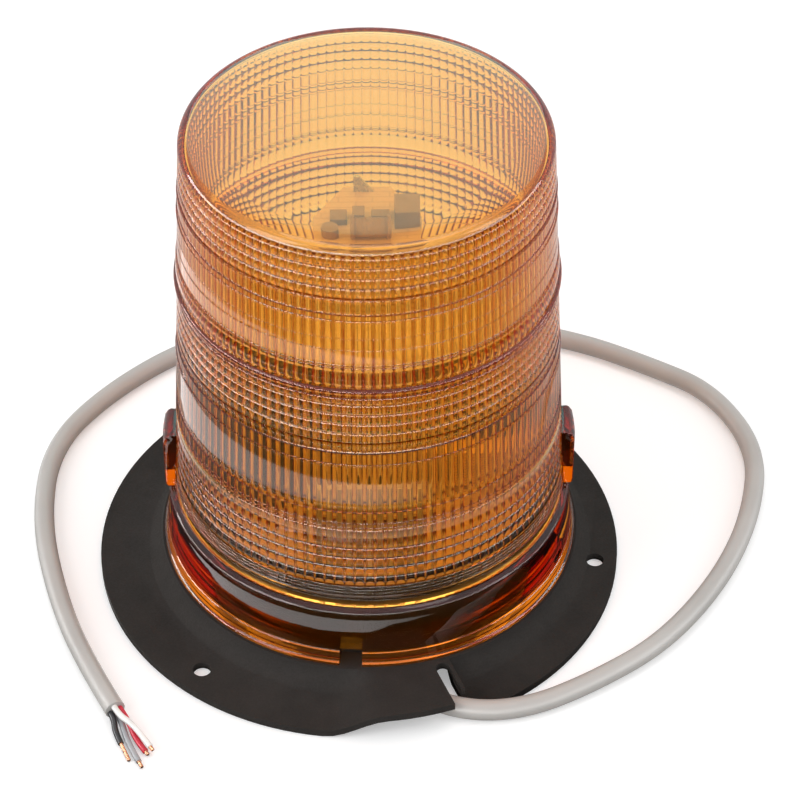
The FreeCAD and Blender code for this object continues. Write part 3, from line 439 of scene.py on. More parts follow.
@dataclass(frozen=True)
class Metal:
    """Plated, drawn or brushed metal with fine lines one way."""

    name: str
    colour: Colour
    roughness: float = 0.3
    lines: tuple[float, float, float] = (1.0, 1.0, 12.0)
    line_depth: float = 0.008

    def material(self) -> Material:
        """The finish as a material."""
        bench = Bench(self.name)
        fine = bench.noise(1.2, 4.0, self.lines)
        broad = bench.ranged(bench.noise(9.0, 2.0), 0.0, 1.0)
        darker = tuple(part * 0.82 for part in self.colour)
        return bench.finish(bench.surface({
            "Metallic": 1.0,
            "Base Color": bench.blend(broad, darker, self.colour),
            "Roughness": bench.ranged(fine, self.roughness * 0.75, self.roughness * 1.3),
            "Normal": bench.bump(fine, self.line_depth),
        }))


@dataclass(frozen=True)
class Amber:
    """Clear amber plastic that deepens with its thickness and lets lamps through."""

    name: str = "amber_plastic"
    tint: Colour = (0.94, 0.685, 0.02)
    density: float = 470.0
    roughness: float = 0.02
    index: float = 1.49
    lamp_tint: Colour = (0.98, 0.97, 0.93)

    def material(self) -> Material:
        """The finish as a material."""
        bench = Bench(self.name)
        flow = bench.noise(22.0, 2.0)
        shader = bench.surface({
            "Base Color": (0.985, 0.965, 0.93),
            "Transmission Weight": 1.0,
            "IOR": self.index,
            "Roughness": bench.ranged(flow, self.roughness * 0.6, self.roughness * 1.6),
            "Normal": bench.bump(flow, 0.05, 0.3),
        })
        soak = bench.add("VolumeAbsorption", {"Color": self.tint, "Density": self.density})
        bench.feed(bench.output, "Volume", soak.outputs[0])
        return bench.finish(bench.lamps_pass(shader, self.lamp_tint))


@dataclass(frozen=True)
class ClearGlass:
    """Thin clear tube glass that lets lamps through."""

    name: str = "tube_glass"
    colour: Colour = (0.97, 0.985, 0.99)
    roughness: float = 0.01
    index: float = 1.46
    lamp_tint: Colour = (0.95, 0.96, 0.97)

    def material(self) -> Material:
        """The finish as a material."""
        bench = Bench(self.name)
        shader = bench.surface({
            "Base Color": self.colour,
            "Transmission Weight": 1.0,
            "IOR": self.index,
            "Roughness": bench.ranged(bench.noise(5.0, 2.0), self.roughness, self.roughness * 4),
        })
        return bench.finish(bench.lamps_pass(shader, self.lamp_tint))


@dataclass(frozen=True)
class CircuitBoard:
    """Board laminate with pads and tracks in rows."""

    name: str
    laminate: Colour
    track: Colour
    pitch: float = 2.54

    def material(self) -> Material:
        """The finish as a material."""
        bench = Bench(self.name)
        inputs = {
            "Vector": bench.place,
            "Scale": 1.0 / (self.pitch * MM),
            "Mortar Size": 0.09,
            "Mortar Smooth": 0.2,
            "Brick Width": 4.0,
            "Row Height": 1.0,
        }
        tracks = bench.add("TexBrick", inputs, offset=0.5, squash=1.0).outputs["Fac"]
        weave = bench.noise(1.6, 3.0)
        darker = tuple(part * 0.92 for part in self.laminate)
        base = bench.blend(bench.ranged(weave, 0.0, 1.0), darker, self.laminate)
        return bench.finish(bench.surface({
            "Base Color": bench.blend(tracks, base, self.track),
            "Roughness": bench.ranged(weave, 0.32, 0.46),
            "Normal": bench.bump(tracks, 0.04, 0.6),
        }))


@dataclass(frozen=True)
class Winding:
    """Rows of enamelled wire or tape round a bobbin, with painted shade in the grooves between the turns.
    """

    name: str
    colour: Colour
    pitch: float = 0.5
    along: str = "Z"
    roughness: float = 0.35

    def material(self) -> Material:
        """The finish as a material."""
        bench = Bench(self.name)
        inputs = {"Vector": bench.place, "Scale": math.pi / 10 / (self.pitch * MM), "Distortion": 0.15}
        kind = {"wave_type": "BANDS", "bands_direction": self.along, "wave_profile": "SIN"}
        turns = bench.add("TexWave", inputs, **kind).outputs["Fac"]
        # painted shade: the colour darkens to 0.55 of itself in the grooves between the turns, where the
        # bump is lowest
        dark = tuple(part * 0.55 for part in self.colour)
        return bench.finish(bench.surface({
            "Base Color": bench.blend(turns, dark, self.colour),
            "Roughness": bench.ranged(turns, self.roughness * 1.2, self.roughness * 0.8, 0, 1),
            "Normal": bench.bump(turns, self.pitch * 0.4),
        }))


def settle(obj: Object, material: Material, body: Body, slot: str, *nodes: str) -> None:
    """Gives a finished piece its material and its body, and hides the CAD nodes that it stands for.

    Args:
        obj: the piece.
        material: what it is made of.
        body: what it moves with.
        slot: not used.
        nodes: CAD nodes that it replaces.
    """
    obj.data.materials.clear()
    obj.data.materials.append(material)
    if nodes:
        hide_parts(*nodes)
    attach(obj, body.value)
    LOG.info("%s rides on %s", obj.name, body.value)


def dress(
    node: str, name: str, material: Material, slot: str, bevel: float = 0.2, body: Body = Body.BASE
) -> None:
    """Shows a CAD node as a copy of it with a finish.

    Args:
        node: the node.
        name: name of the piece.
        material: what it is made of.
        slot: handed on to settle, which does not use it.
        bevel: width of the eased edges in millimetres, or 0 for none.
        body: what it moves with.
    """
    settle(copy_of_node(node, name, bevel), material, body, slot, node)


# Studio


@dataclass(frozen=True)
class Veil:
    """A bright patch that the lens wall mirrors, between two heights at turns from the lens's front."""

    name: str
    turns: tuple[float, ...]
    low: tuple[float, ...]
    high: tuple[float, ...]
    strength: float


@dataclass
class Studio:
    """Camera at the photograph's angle, a pale floor and soft lamps."""

    distance: float = 950.0
    elevation: float = 43.95
    turn: float = 0.81
    tilt: float = 41.66
    roll: float = 0.08
    focal: float = 133.2
    fill: float = 0.62
    floor_half: float = 6000.0
    floor_height: float = -0.15
    floor_colour: Colour = (0.80, 0.80, 0.80)
    floor_lift: float = 0.34
    through: float = 1.22
    mirrored: tuple[float, float] = (0.06, 0.80)
    front_level: float = 0.72
    front_span: tuple[float, float] = (-0.12, 0.05)
    near_level: float = 0.02
    near_span: tuple[float, float] = (0.1, 0.145)
    sky_mirrored: float = 1.05
    arc_radius: float = 900.0
    arc_turns: tuple[float, float] = (-118.0, 112.0)
    arc_heights: tuple[float, float, float] = (170.0, 300.0, 430.0)
    arc_levels: tuple[float, float] = (11.0, 6.0)
    haze: tuple[float, float] = (3.6, 1.8)
    haze_colour: Colour = (0.42, 0.98, 0.95)
    haze_half: float = 300.0
    haze_depth: float = 900.0
    haze_heights: tuple[float, float] = (640.0, 1000.0)
    veils: tuple[Veil, ...] = (
        Veil("veil_low", (-75, -60, -40, -20, 0, 20), (62,) * 6, (77, 75, 73, 71, 70, 69), 1.9),
        Veil("veil_ring", (-85, -60, -40, -20, 0, 16), (106.6,) * 6, (110.2,) * 6, 3.4),
        Veil("veil_high", (-75, -60, -40, -20, -5, 10), (114,) * 6, (123, 122, 121, 119, 117, 115), 1.9),
        Veil(
            "veil_skirt",
            (-75, -55, -35, -15, 0, 10, 18),
            (14.1, 13.3, 12.6, 12.4, 12.7, 15.2, 18.4),
            (18.9,) * 7,
            2.5,
        ),
    )
    lamps: tuple[tuple[str, Point, tuple[float, float], float], ...] = (
        ("softbox_left", (-850, -520, 700), (520, 900), 5.0),
        ("softbox_right", (980, -260, 620), (360, 900), 3.0),
        ("softbox_top", (100, 250, 1300), (900, 700), 3.6),
    )

    def camera_spot(self) -> Point:
        """Place of the camera in millimetres."""
        rise = math.radians(self.elevation)
        level = LENS_FOOT - 0.2 + self.distance * math.sin(rise)
        return (AXIS_X, -self.distance * math.cos(rise), level)

    def camera(self) -> None:
        """Sets the camera at its distance from the lens's foot, turned as the photograph's was."""
        data = bpy.data.cameras.new("camera")
        data.lens = self.focal
        data.sensor_width = 36.0
        obj = bpy.data.objects.new("camera", data)
        obj.location = Vector(self.camera_spot()) * MM
        about = ((-self.turn, "Z"), (90 - self.tilt, "X"), (self.roll, "Z"))
        pan, pitch, roll = (Matrix.Rotation(math.radians(angle), 3, axis) for angle, axis in about)
        obj.rotation_euler = (pan @ pitch @ roll).to_euler()
        bpy.context.scene.collection.objects.link(obj)
        bpy.context.scene.camera = obj

    def floor(self) -> None:
        """A wide pale floor that keeps the object's shadow and looks white where light falls on it.

        Rays that are mirrored or come through glass find it dim near the light and on the camera's side.
        """
        half = self.floor_half
        square = [[-half, -half], [half, -half], [half, half], [-half, half]]
        corners = np.array([[*corner, self.floor_height] for corner in square])
        obj = link_mesh("floor", corners, [[0, 1, 2, 3]])
        bench = Bench("floor_card")
        matte = bench.add("BsdfDiffuse", {"Color": self.floor_colour}).outputs[0]
        glow = bench.add("Emission", {"Strength": seen_ray(bench, self.floor_lift)}).outputs[0]
        total = bench.add("AddShader", {0: matte, 1: glow}).outputs[0]
        depth = bench.place_part(1)
        away = bench.add("VectorMath", {0: bench.place}, operation="LENGTH").outputs["Value"]
        path = bench.add("LightPath").outputs
        mirrored = bench.ranged(depth, *self.mirrored, *self.front_span)
        through = bench.ranged(depth, self.front_level, self.through, *self.front_span)
        both = bench.add("Mix", {0: path["Is Transmission Ray"], 2: mirrored, 3: through}).outputs[0]
        near = bench.ranged(away, self.near_level, 1.0, *self.near_span)
        level = bench.add("Math", {0: both, 1: near}, operation="MULTIPLY").outputs[0]
        dim = bench.add("Emission", {"Strength": level}).outputs[0]
        pick = bench.add("MixShader", {0: path["Is Glossy Ray"], 1: total, 2: dim}).outputs[0]
        obj.data.materials.append(bench.finish(pick))

    def world(self) -> None:
        """White where it is seen, brighter where it is mirrored or seen through glass, else a fill."""
        world = bpy.data.worlds.new("studio")
        world.use_nodes = True
        tree = world.node_tree
        tree.nodes.clear()
        path = tree.nodes.new("ShaderNodeLightPath")
        level: Socket | None = None
        for name, strength in (
            ("Is Glossy Ray", self.sky_mirrored),
            ("Is Transmission Ray", self.through),
            ("Is Camera Ray", 1.0),
        ):
            node = tree.nodes.new("ShaderNodeMix")
            if level is None:
                node.inputs[2].default_value = self.fill
            else:
                tree.links.new(level, node.inputs[2])
            node.inputs[3].default_value = strength
            tree.links.new(path.outputs[name], node.inputs[0])
            level = node.outputs[0]
        light = tree.nodes.new("ShaderNodeBackground")
        light.inputs["Color"].default_value = (1, 1, 1, 1)
        tree.links.new(level, light.inputs["Strength"])
        output = tree.nodes.new("ShaderNodeOutputWorld")
        tree.links.new(light.outputs[0], output.inputs["Surface"])
        bpy.context.scene.world = world

    def arc_card(self) -> None:
        """A long bright card bent round the front, mirrored along the prisms and rings.

        It stands on a circle about the axis, x = r sin a and y = -r cos a, and is brighter on the left.
        """
        turn = np.radians(np.linspace(*self.arc_turns, 60))[:, None]
        height = np.array(self.arc_heights)[None, :]
        x = AXIS_X + self.arc_radius * np.sin(turn) + 0 * height
        y = -self.arc_radius * np.cos(turn) + 0 * height
        points = np.stack([x, y, height + 0 * turn], axis=-1).reshape(-1, 3)
        self.card("arc_card", points, grid_faces(60, 3).tolist(), 0, self.arc_levels, (-0.5, 0.5))

    def haze_card(self) -> None:
        """A bright card behind the light that the flat top mirrors, brighter at its lower edge."""
        low, high = self.haze_heights
        half, y = self.haze_half, self.haze_depth
        corners = np.array([[-half, y, low], [half, y, low], [half, y, high], [-half, y, high]])
        ends = (low * MM, high * MM)
        self.card("haze_card", corners, [[0, 1, 2, 3]], 2, self.haze, ends, self.haze_colour)

    def veil_card(self, veil: Veil) -> None:
        """A bright card where the lens wall mirrors the floor into the camera.

        For each turn and height the wall's point p and normal n give the camera's line v from the camera to
        p and its mirrored line r = v - 2 (v . n) n, which is followed down to just above the floor.

        Args:
            veil: the turns and heights on the wall, and the card's strength.
        """
        steps = 60
        turn = np.radians(np.linspace(veil.turns[0], veil.turns[-1], steps))[:, None]
        edges = [np.interp(np.degrees(turn[:, 0]), veil.turns, some) for some in (veil.low, veil.high)]
        share = np.linspace(0, 1, 4)[None, :]
        height = edges[0][:, None] * (1 - share) + edges[1][:, None] * share
        lens = Lens()
        radius = lens.face_radius(height)
        lean = np.arctan(lens.face_radius(height - 0.2) - lens.face_radius(height + 0.2)) / 0.4
        side, ahead = np.sin(turn) + 0 * height, -np.cos(turn) + 0 * height
        spot = np.stack([AXIS_X + radius * side, radius * ahead, height + LENS_FOOT], axis=-1)
        normal = np.stack([side * np.cos(lean), ahead * np.cos(lean), np.sin(lean)], axis=-1)
        line = spot - np.array(self.camera_spot())
        line /= np.linalg.norm(line, axis=-1, keepdims=True)
        line -= 2 * (line * normal).sum(axis=-1, keepdims=True) * normal
        reach = (spot[..., 2:] - 0.4) / -line[..., 2:]
        points = (spot + line * reach).reshape(-1, 3)
        self.card(veil.name, points, grid_faces(steps, 4).tolist(), 0, (veil.strength, 0.1), (0.0, 0.08))

    def card(
        self,
        name: str,
        points: np.ndarray,
        faces: list,
        axis: int,
        levels: tuple[float, float],
        ends: tuple[float, float],
        colour: Colour = (1.0, 1.0, 1.0),
    ) -> None:
        """A glowing card that only mirrored rays find, with a strength that changes along one axis.

        Args:
            name: name of the card.
            points: its points in millimetres.
            faces: its faces.
            axis: number of the axis.
            levels: strength at both ends.
            ends: places of the ends on the axis, in metres.
            colour: colour of the glow.
        """
        obj = link_mesh(name, points, faces)
        bench = Bench(name)
        strength = bench.ranged(bench.place_part(axis), *levels, *ends)
        glow = bench.add("Emission", {"Color": colour, "Strength": strength}).outputs[0]
        obj.data.materials.append(bench.finish(glow))
        obj.visible_camera = obj.visible_diffuse = obj.visible_transmission = obj.visible_shadow = False

    def lamp(self, name: str, spot: Point, size: tuple[float, float], power: float) -> None:
        """A softbox that faces the middle of the light.

        Args:
            name: name of the lamp.
            spot: its place in millimetres.
            size: its width and height in millimetres.
            power: its power in watts.
        """
        data = bpy.data.lights.new(name, "AREA")
        data.shape = "RECTANGLE"
        data.size, data.size_y = size[0] * MM, size[1] * MM
        data.energy = power
        obj = bpy.data.objects.new(name, data)
        obj.location = Vector(spot) * MM
        aim = Vector((AXIS_X, 0, 60)) - Vector(spot)
        obj.rotation_euler = aim.to_track_quat("-Z", "Y").to_euler()
        bpy.context.scene.collection.objects.link(obj)

    def build(self) -> None:
        """Sets up the whole studio."""
        scene = bpy.context.scene
        scene.view_settings.view_transform = "Standard"
        scene.cycles.transmission_bounces = 20
        scene.cycles.glossy_bounces = 8
        scene.cycles.max_bounces = 24
        scene.cycles.transparent_max_bounces = 16
        self.camera()
        self.floor()
        self.world()
        for name, spot, size, power in self.lamps:
            self.lamp(name, spot, size, power)
        self.haze_card()
        self.arc_card()
        for veil in self.veils:
            self.veil_card(veil)


def seen_ray(bench: Bench, strength: float) -> Socket:
    """A strength for rays that are seen, mirrored or come through glass, and none for others.

    Args:
        bench: the material that it is for.
        strength: the strength.

    Returns:
        The strength's socket.
    """
    path = bench.add("LightPath").outputs
    value = path["Is Camera Ray"]
    for name in ("Is Glossy Ray", "Is Transmission Ray"):
        value = bench.add("Math", {0: value, 1: path[name]}, operation="MAXIMUM").outputs[0]
    return bench.add("Math", {0: value, 1: strength}, operation="MULTIPLY").outputs[0]


# Cable


@dataclass(frozen=True)
class Conductor:
    """One stripped conductor of the cable."""

    name: str
    colour: Colour
    bare: float
    route: Points


@dataclass
class SupplyCable:
    """Grey jacketed cable from the grommet under the flange and round behind the light."""

    radius: float = 3.2
    wire_radius: float = 0.95
    strand_radius: float = 0.6
    strand_lay: float = 11.0
    strands: int = 7
    length: float = 0.693
    route: Points = (
        (3.4, 8.0, 33.0), (3.4, 8.0, 22.0), (3.4, 3.0, 12.0), (3.4, -6.0, 5.0),
        (3.4, -18.0, 3.2), (3.2, -30.0, 3.2), (3.5, -50.6, 3.2), (13.3, -67.8, 3.2),
        (30.6, -77.6, 3.2), (50.0, -77.0, 3.2), (70.7, -66.6, 3.2), (94.3, -49.8, 3.2),
        (114.7, -22.2, 3.2), (127.3, 7.2, 3.2), (132.2, 38.0, 3.2), (119.8, 67.0, 3.2),
        (99.0, 81.0, 3.2), (76.0, 94.0, 3.2), (45.0, 103.0, 3.2), (10.0, 108.0, 3.2),
        (-26.0, 105.0, 3.2), (-58.0, 93.0, 3.2), (-84.0, 70.0, 3.2), (-101.8, 43.0, 3.2),
        (-103.0, 7.0, 3.2), (-94.6, -29.6, 3.2), (-84.2, -56.4, 3.2), (-74.1, -75.8, 3.2),
    )
    wires: tuple[Conductor, ...] = (
        Conductor("black", (0.02, 0.02, 0.022), 7.0, (
            (-75.5, -76.65, 2.7), (-74.1, -79.8, 2.7), (-73.9, -82.8, 1.3), (-71.8, -87.6, 1.0),
        )),
        Conductor("grey", (0.36, 0.37, 0.39), 2.5, (
            (-73.9, -75.86, 1.75), (-72.05, -79.4, 1.75), (-70.6, -84.6, 1.05), (-68.4, -90.0, 1.0),
            (-66.1, -94.8, 1.0),
        )),
        Conductor("red", (0.62, 0.02, 0.05), 1.5, (
            (-72.75, -75.26, 3.4), (-70.85, -78.8, 3.4), (-69.4, -80.8, 2.0), (-67.5, -85.9, 1.15),
            (-64.3, -90.8, 1.0),
        )),
        Conductor("white", (0.86, 0.86, 0.84), 1.5, (
            (-74.3, -76.07, 4.7), (-72.45, -79.6, 4.7), (-69.0, -82.4, 4.6), (-66.0, -86.0, 3.9),
            (-62.8, -90.4, 2.7),
        )),
    )

    def strand_bundle(self, wire: Conductor) -> Mesh:
        """Twisted bare strands beyond a conductor's insulation.

        Strand k follows a helix round the conductor's last run: its distance from the run is two strand
        radii for the outer strands and none for the middle one, and its angle is its own start plus one
        turn in the length of the lay.

        Args:
            wire: the conductor.

        Returns:
            Points and faces of all the strands.
        """
        tip = np.array(wire.route[-1])
        run = tip - np.array(wire.route[-2])
        run /= np.linalg.norm(run)
        side = np.cross(run, [0, 0, 1.0])
        side /= np.linalg.norm(side)
        up = np.cross(side, run)
        thin = self.strand_radius / 3
        along = np.linspace(-1.0, wire.bare, 16)
        made = []
        for index in range(self.strands):
            out = 0.0 if index == 0 else thin * 2
            angle = 2 * np.pi * (index / (self.strands - 1) + along / self.strand_lay)
            sway = side[None, :] * np.cos(angle)[:, None] + up[None, :] * np.sin(angle)[:, None]
            made.append(tube_mesh(tip + run * along[:, None] + out * sway, thin, 6))
        return join_meshes(made)

    def build(self) -> None:
        """Lays the jacket, the four conductors and their bare ends."""
        jacket = nurbs_curve("supply_cable_jacket", self.route, self.radius)
        finish = Moulded("cable_jacket", (0.46, 0.445, 0.425), 0.42, 0.8, 0.012, 0.07, 30.0, 0.5)
        settle(jacket, finish.material(), Body.BASE, "cable_jacket", "supply_cable")
        for wire in self.wires:
            obj = nurbs_curve(f"conductor_{wire.name}_wire", wire.route, self.wire_radius)
            obj.data.bevel_resolution = 4
            finish = Moulded(f"{wire.name}_insulation", wire.colour, 0.3, 0.6, 0.006, 0.06, 6.0)
            settle(obj, finish.material(), Body.BASE, f"{wire.name}_wire", f"conductor_{wire.name}")
        strands = join_meshes([self.strand_bundle(wire) for wire in self.wires])
        ends = link_mesh("bare_strands", *strands, 60.0)
        copper = Metal("bare_copper", (0.78, 0.42, 0.26), 0.3).material()
        settle(ends, copper, Body.BASE, "copper", "conductor_ends")


# Lens


@dataclass
class Lens:
    """Tall amber lens: prisms round the outside, upright flutes round the inside, and a smooth skirt."""

    flutes: int = 122
    flute_steps: int = 8
    outer_steps: int = 2
    flute_depth: float = 0.9
    wall: float = 2.4
    wall_foot: tuple[float, float] = (61.0, 22.0)
    wall_top: tuple[float, float] = (54.5, 148.5)
    height: float = 153.5
    shoulder: float = 3.0
    inner_shoulder: float = 1.0
    skirt_radius: float = 65.4
    skirt_top_radius: float = 62.5
    skirt_bore: float = 60.3
    ledge: float = 21.0
    groove_radius: float = 62.5
    groove_low: float = 3.9
    groove_high: float = 8.7
    entry_half: float = 5.6
    lock_turn: float = 12.0
    notch_angle: float = -95.4
    notch_width: float = 7.0
    notch_height: float = 6.5
    ear_heights: tuple[float, float] = (21.3, 42.0)
    bead_bands: tuple[tuple[float, float, int, float], ...] = (
        (26.2, 29.6, 3, 0.2), (30.0, 52.0, 6, 0.55), (84.9, 98.9, 4, 0.5), (136.6, 150.3, 4, 0.45),
    )
    ring_lines: Points = (
        (25.1, 0.25, 1.1), (53.2, -0.25, 0.9), (54.8, -0.25, 0.9), (60.0, -0.55, 2.8),
        (76.6, 0.3, 1.3), (82.5, -0.7, 2.9), (100.6, 0.35, 2.2), (103.9, 0.9, 2.2),
        (108.3, 0.35, 4.8), (111.8, 0.35, 1.6), (113.4, -0.3, 0.9), (118.8, -0.2, 0.8),
        (122.8, -0.1, 0.6), (128.7, 0.3, 1.0), (131.3, -0.5, 1.2), (135.7, 0.25, 1.1),
    )
    flute_shares: tuple[tuple[float, float], ...] = (
        (149.9, 0.0), (149.4, 1.0), (130.0, 1.0), (112.6, 1.0), (111.0, 0.35), (106.0, 0.35), (104.8, 1.0),
        (90.0, 1.0), (75.0, 1.0), (60.0, 1.0), (45.0, 1.0), (30.4, 1.0), (28.6, 0.0),
    )

    def wall_radius(self, height: float | np.ndarray) -> float | np.ndarray:
        """Outer radius of the tapered wall: a straight line between its foot and its top."""
        slope = (self.wall_foot[0] - self.wall_top[0]) / (self.wall_top[1] - self.wall_foot[1])
        return self.wall_foot[0] - slope * (height - self.wall_foot[1])

    def skirt_edge(self, height: float | np.ndarray) -> float | np.ndarray:
        """Outer radius of the skirt above its rim: a straight line inwards and upwards."""
        share = (height - 2.3) / (19.35 - 2.3)
        return self.skirt_radius - 0.7 + (self.skirt_top_radius + 0.7 - self.skirt_radius) * share

    def face_radius(self, height: np.ndarray) -> np.ndarray:
        """Outer radius without prisms and rings: the skirt's, and above the collar ring the wall's."""
        return np.where(height < 19.4, self.skirt_edge(height), self.wall_radius(height))

    def outer_profile(self) -> list[tuple[float, float]]:
        """Radius and height up the outside, from the foot to the middle of the top.

        Returns:
            The profile's corners.
        """
        skirt, top, edge = self.skirt_radius, self.skirt_top_radius, self.skirt_edge
        rim = skirt - 0.6
        corners = [
            (skirt - 0.25, 0.0), (skirt, 0.3), (skirt, 1.2), (skirt - 0.25, 1.5),
            (rim, 1.75), (rim - 0.1, 2.3), (edge(3.9), 3.9), (edge(4.9), 4.9),
            (edge(4.9) - 0.25, 5.15), (edge(5.5) - 0.25, 5.5), (edge(5.75), 5.75),
            (edge(self.notch_height), self.notch_height), (edge(8.7), 8.7), (edge(12.0), 12.0),
            (edge(16.0), 16.0), (top + 0.15, 18.9), (top + 0.05, 19.35), (62.8, 19.5),
            (63.0, 19.75), (63.05, 20.05), (62.95, 20.4), (62.7, 20.7), (62.2, 20.95),
            (61.4, 21.3), (self.wall_foot[0] + 0.05, 22.1),
        ]
        parts = [(band[0], self.bead_corners(*band)) for band in self.bead_bands]
        parts += [(line[0], self.line_corners(*line)) for line in self.ring_lines]
        for _, some in sorted(parts):
            corners += some
        start = self.height - self.shoulder
        middle = float(self.wall_radius(start)) - self.shoulder
        for angle in np.linspace(0, 90, 8):
            turn = math.radians(angle)
            out, up = self.shoulder * math.cos(turn), self.shoulder * math.sin(turn)
            corners.append((middle + out, start + up))
        return corners + [(radius, self.height) for radius in (44.0, 30.0, 15.0, 0.0)]

    def bead_corners(
        self, low: float, high: float, count: int, depth: float
    ) -> list[tuple[float, float]]:
        """Corners of a band of prisms, each half an ellipse.

        At share s of a half turn the height is the prism's foot plus its width times (1 - cos s) / 2, and
        the radius is the wall's less the depth times (1 - sin s).

        Args:
            low: height of the band's foot.
            high: height of its top.
            count: how many prisms.
            depth: how deep the valleys between them are.

        Returns:
            The corners, upwards.
        """
        steps = 6
        turn = np.pi * np.arange(count * steps) / steps
        width = (high - low) / count
        height = low + width * (np.arange(count * steps) // steps + (1 - np.cos(turn % np.pi)) / 2)
        radius = self.wall_radius(height) - depth * (1 - np.sin(turn % np.pi))
        edges = [(float(self.wall_radius(spot)), spot) for spot in (low - 0.15, high + 0.15)]
        last = (float(self.wall_radius(high)) - depth, high)
        return [edges[0], *zip(radius.tolist(), height.tolist()), last, edges[1]]

    def line_corners(self, middle: float, rise: float, width: float) -> list[tuple[float, float]]:
        """Corners of one rounded ring, raised or sunk: half an ellipse.

        Args:
            middle: height of its middle.
            rise: how far it stands out, or in if it is less than 0.
            width: width from foot to top.

        Returns:
            The corners, upwards.
        """
        turn = np.linspace(0, np.pi, 7)
        height = middle - width / 2 * np.cos(turn)
        radius = self.wall_radius(height) + rise * np.sin(turn)
        return list(zip(radius.tolist(), height.tolist()))

    def inner_profile(self) -> list[tuple[float, float, float, int]]:
        """Radius, height, flute share and groove state down the inside, from the top's middle to the foot.

        Returns:
            Corners; the groove state is 0 for none, 1 for the upright entry and 2 for entry and run.
        """
        top = self.height - self.wall
        start = top - self.inner_shoulder
        middle = float(self.wall_radius(start)) - self.wall - self.inner_shoulder
        corners = [(radius, top, 0.0, 0) for radius in (0.0, 15.0, 30.0, 44.0)]
        for angle in (90, 60, 30, 0):
            turn = math.radians(angle)
            out, up = self.inner_shoulder * math.cos(turn), self.inner_shoulder * math.sin(turn)
            corners.append((middle + out, start + up, 0.0, 0))
        for height, share in self.flute_shares:
            corners.append((float(self.wall_radius(height)) - self.wall, height, share, 0))
        gap = 0.04
        bore = self.skirt_bore
        return corners + [
            (float(self.wall_radius(self.ledge)) - self.wall, self.ledge, 0.0, 0),
            (bore, self.ledge, 0.0, 0), (bore, 15.0, 0.0, 0), (bore, self.groove_high + gap, 0.0, 0),
            (bore, self.groove_high, 0.0, 2), (bore, self.notch_height, 0.0, 2),
            (bore, self.groove_low, 0.0, 2), (bore, self.groove_low - gap, 0.0, 1),
            (bore, 0.3, 0.0, 1), (bore + 0.3, 0.0, 0.0, 1),
        ]

    def notch_edges(self) -> tuple[float, float]:
        """Angles of the front notch's two sides, in degrees from 0 to 360."""
        half = math.degrees(math.asin(self.notch_width / 2 / self.skirt_radius))
        return (self.notch_angle - half) % 360, (self.notch_angle + half) % 360

    def column_angles(self) -> tuple[np.ndarray, np.ndarray]:
        """Angles of the inside's columns, and which of them the outside has too.

        In every flute step k lies at (1 - cos(pi k / steps)) / 2 of its width, so steps are finest at
        the valleys. Pairs of columns stand at the cuts' edges.

        Returns:
            Rising angles from 0 to less than 360 degrees, and a mark for each.
        """
        step = np.arange(self.flute_steps)
        within = (1 - np.cos(np.pi * step / self.flute_steps)) / 2
        even = ((np.arange(self.flutes)[:, None] + within[None, :]) * 360.0 / self.flutes).ravel()
        shared = np.tile(step % (self.flute_steps // self.outer_steps) == 0, self.flutes)
        edges = []
        for middle in (0.0, 180.0):
            for edge in (-self.entry_half - self.lock_turn, -self.entry_half, self.entry_half):
                edges += [(middle + edge - 0.03) % 360, (middle + edge + 0.03) % 360]
        exact = np.array([*edges, *self.notch_edges()])
        away = np.abs((even[:, None] - exact[None, :] + 180) % 360 - 180).min(axis=1)
        far = away > 0.1
        angles = np.concatenate([even[far], exact])
        marks = np.concatenate([shared[far], np.arange(len(exact)) >= len(edges)])
        order = np.argsort(angles)
        return angles[order], marks[order]

    def groove_mask(self, angles: np.ndarray) -> tuple[np.ndarray, np.ndarray]:
        """Which columns lie in the lock's upright entries, and which in its entries and runs.

        Args:
            angles: the columns' angles in degrees.

        Returns:
            Two arrays of 0 and 1.
        """
        turned = [(angles - middle + 180) % 360 - 180 for middle in (0.0, 180.0)]
        half, start = self.entry_half, -self.entry_half - self.lock_turn
        entry = [np.abs(turn) <= half for turn in turned]
        run = [(turn >= start) & (turn <= half) for turn in turned]
        return (entry[0] | entry[1]).astype(float), (run[0] | run[1]).astype(float)

    def shell(self) -> Object:
        """The lens wall as one closed surface: a grid outside, a finer one inside, joined at the foot.

        Outside, the radius is the profile's. Inside it is the profile's less the flute's depth times
        1 - |2 s - 1| ** 4 for the share s of a flute's width, or the groove's radius in the lock's cuts.

        Returns:
            The shell.
        """
        angles, shared = self.column_angles()
        outer = np.array(self.outer_profile()[::-1])[1:]
        inner = np.array(self.inner_profile()[::-1])[:-1]
        entry, run = self.groove_mask(angles)
        share = angles * self.flutes / 360 % 1
        bulge = 1 - np.abs(2 * share - 1) ** 4
        radius = inner[:, :1] - self.flute_depth * inner[:, 2:3] * bulge[None, :]
        state = inner[:, 3:4]
        cut = np.where(state == 1, entry[None, :], np.where(state == 2, run[None, :], 0.0))
        radius = np.where(cut > 0, self.groove_radius, radius)
        grids = []
        for some_radius, height, some_angles in (
            (outer[:, :1], outer[:, 1:2], angles[shared]),
            (radius, inner[:, 1:2], angles),
        ):
            turn = np.radians(some_angles)[None, :]
            x, y = AXIS_X + some_radius * np.cos(turn), some_radius * np.sin(turn)
            grids.append(np.stack([x, y, np.broadcast_to(height + LENS_FOOT, x.shape)], axis=-1))
        return self.close_shell(grids, angles, np.flatnonzero(shared), outer[:, 1], inner[:, 1])

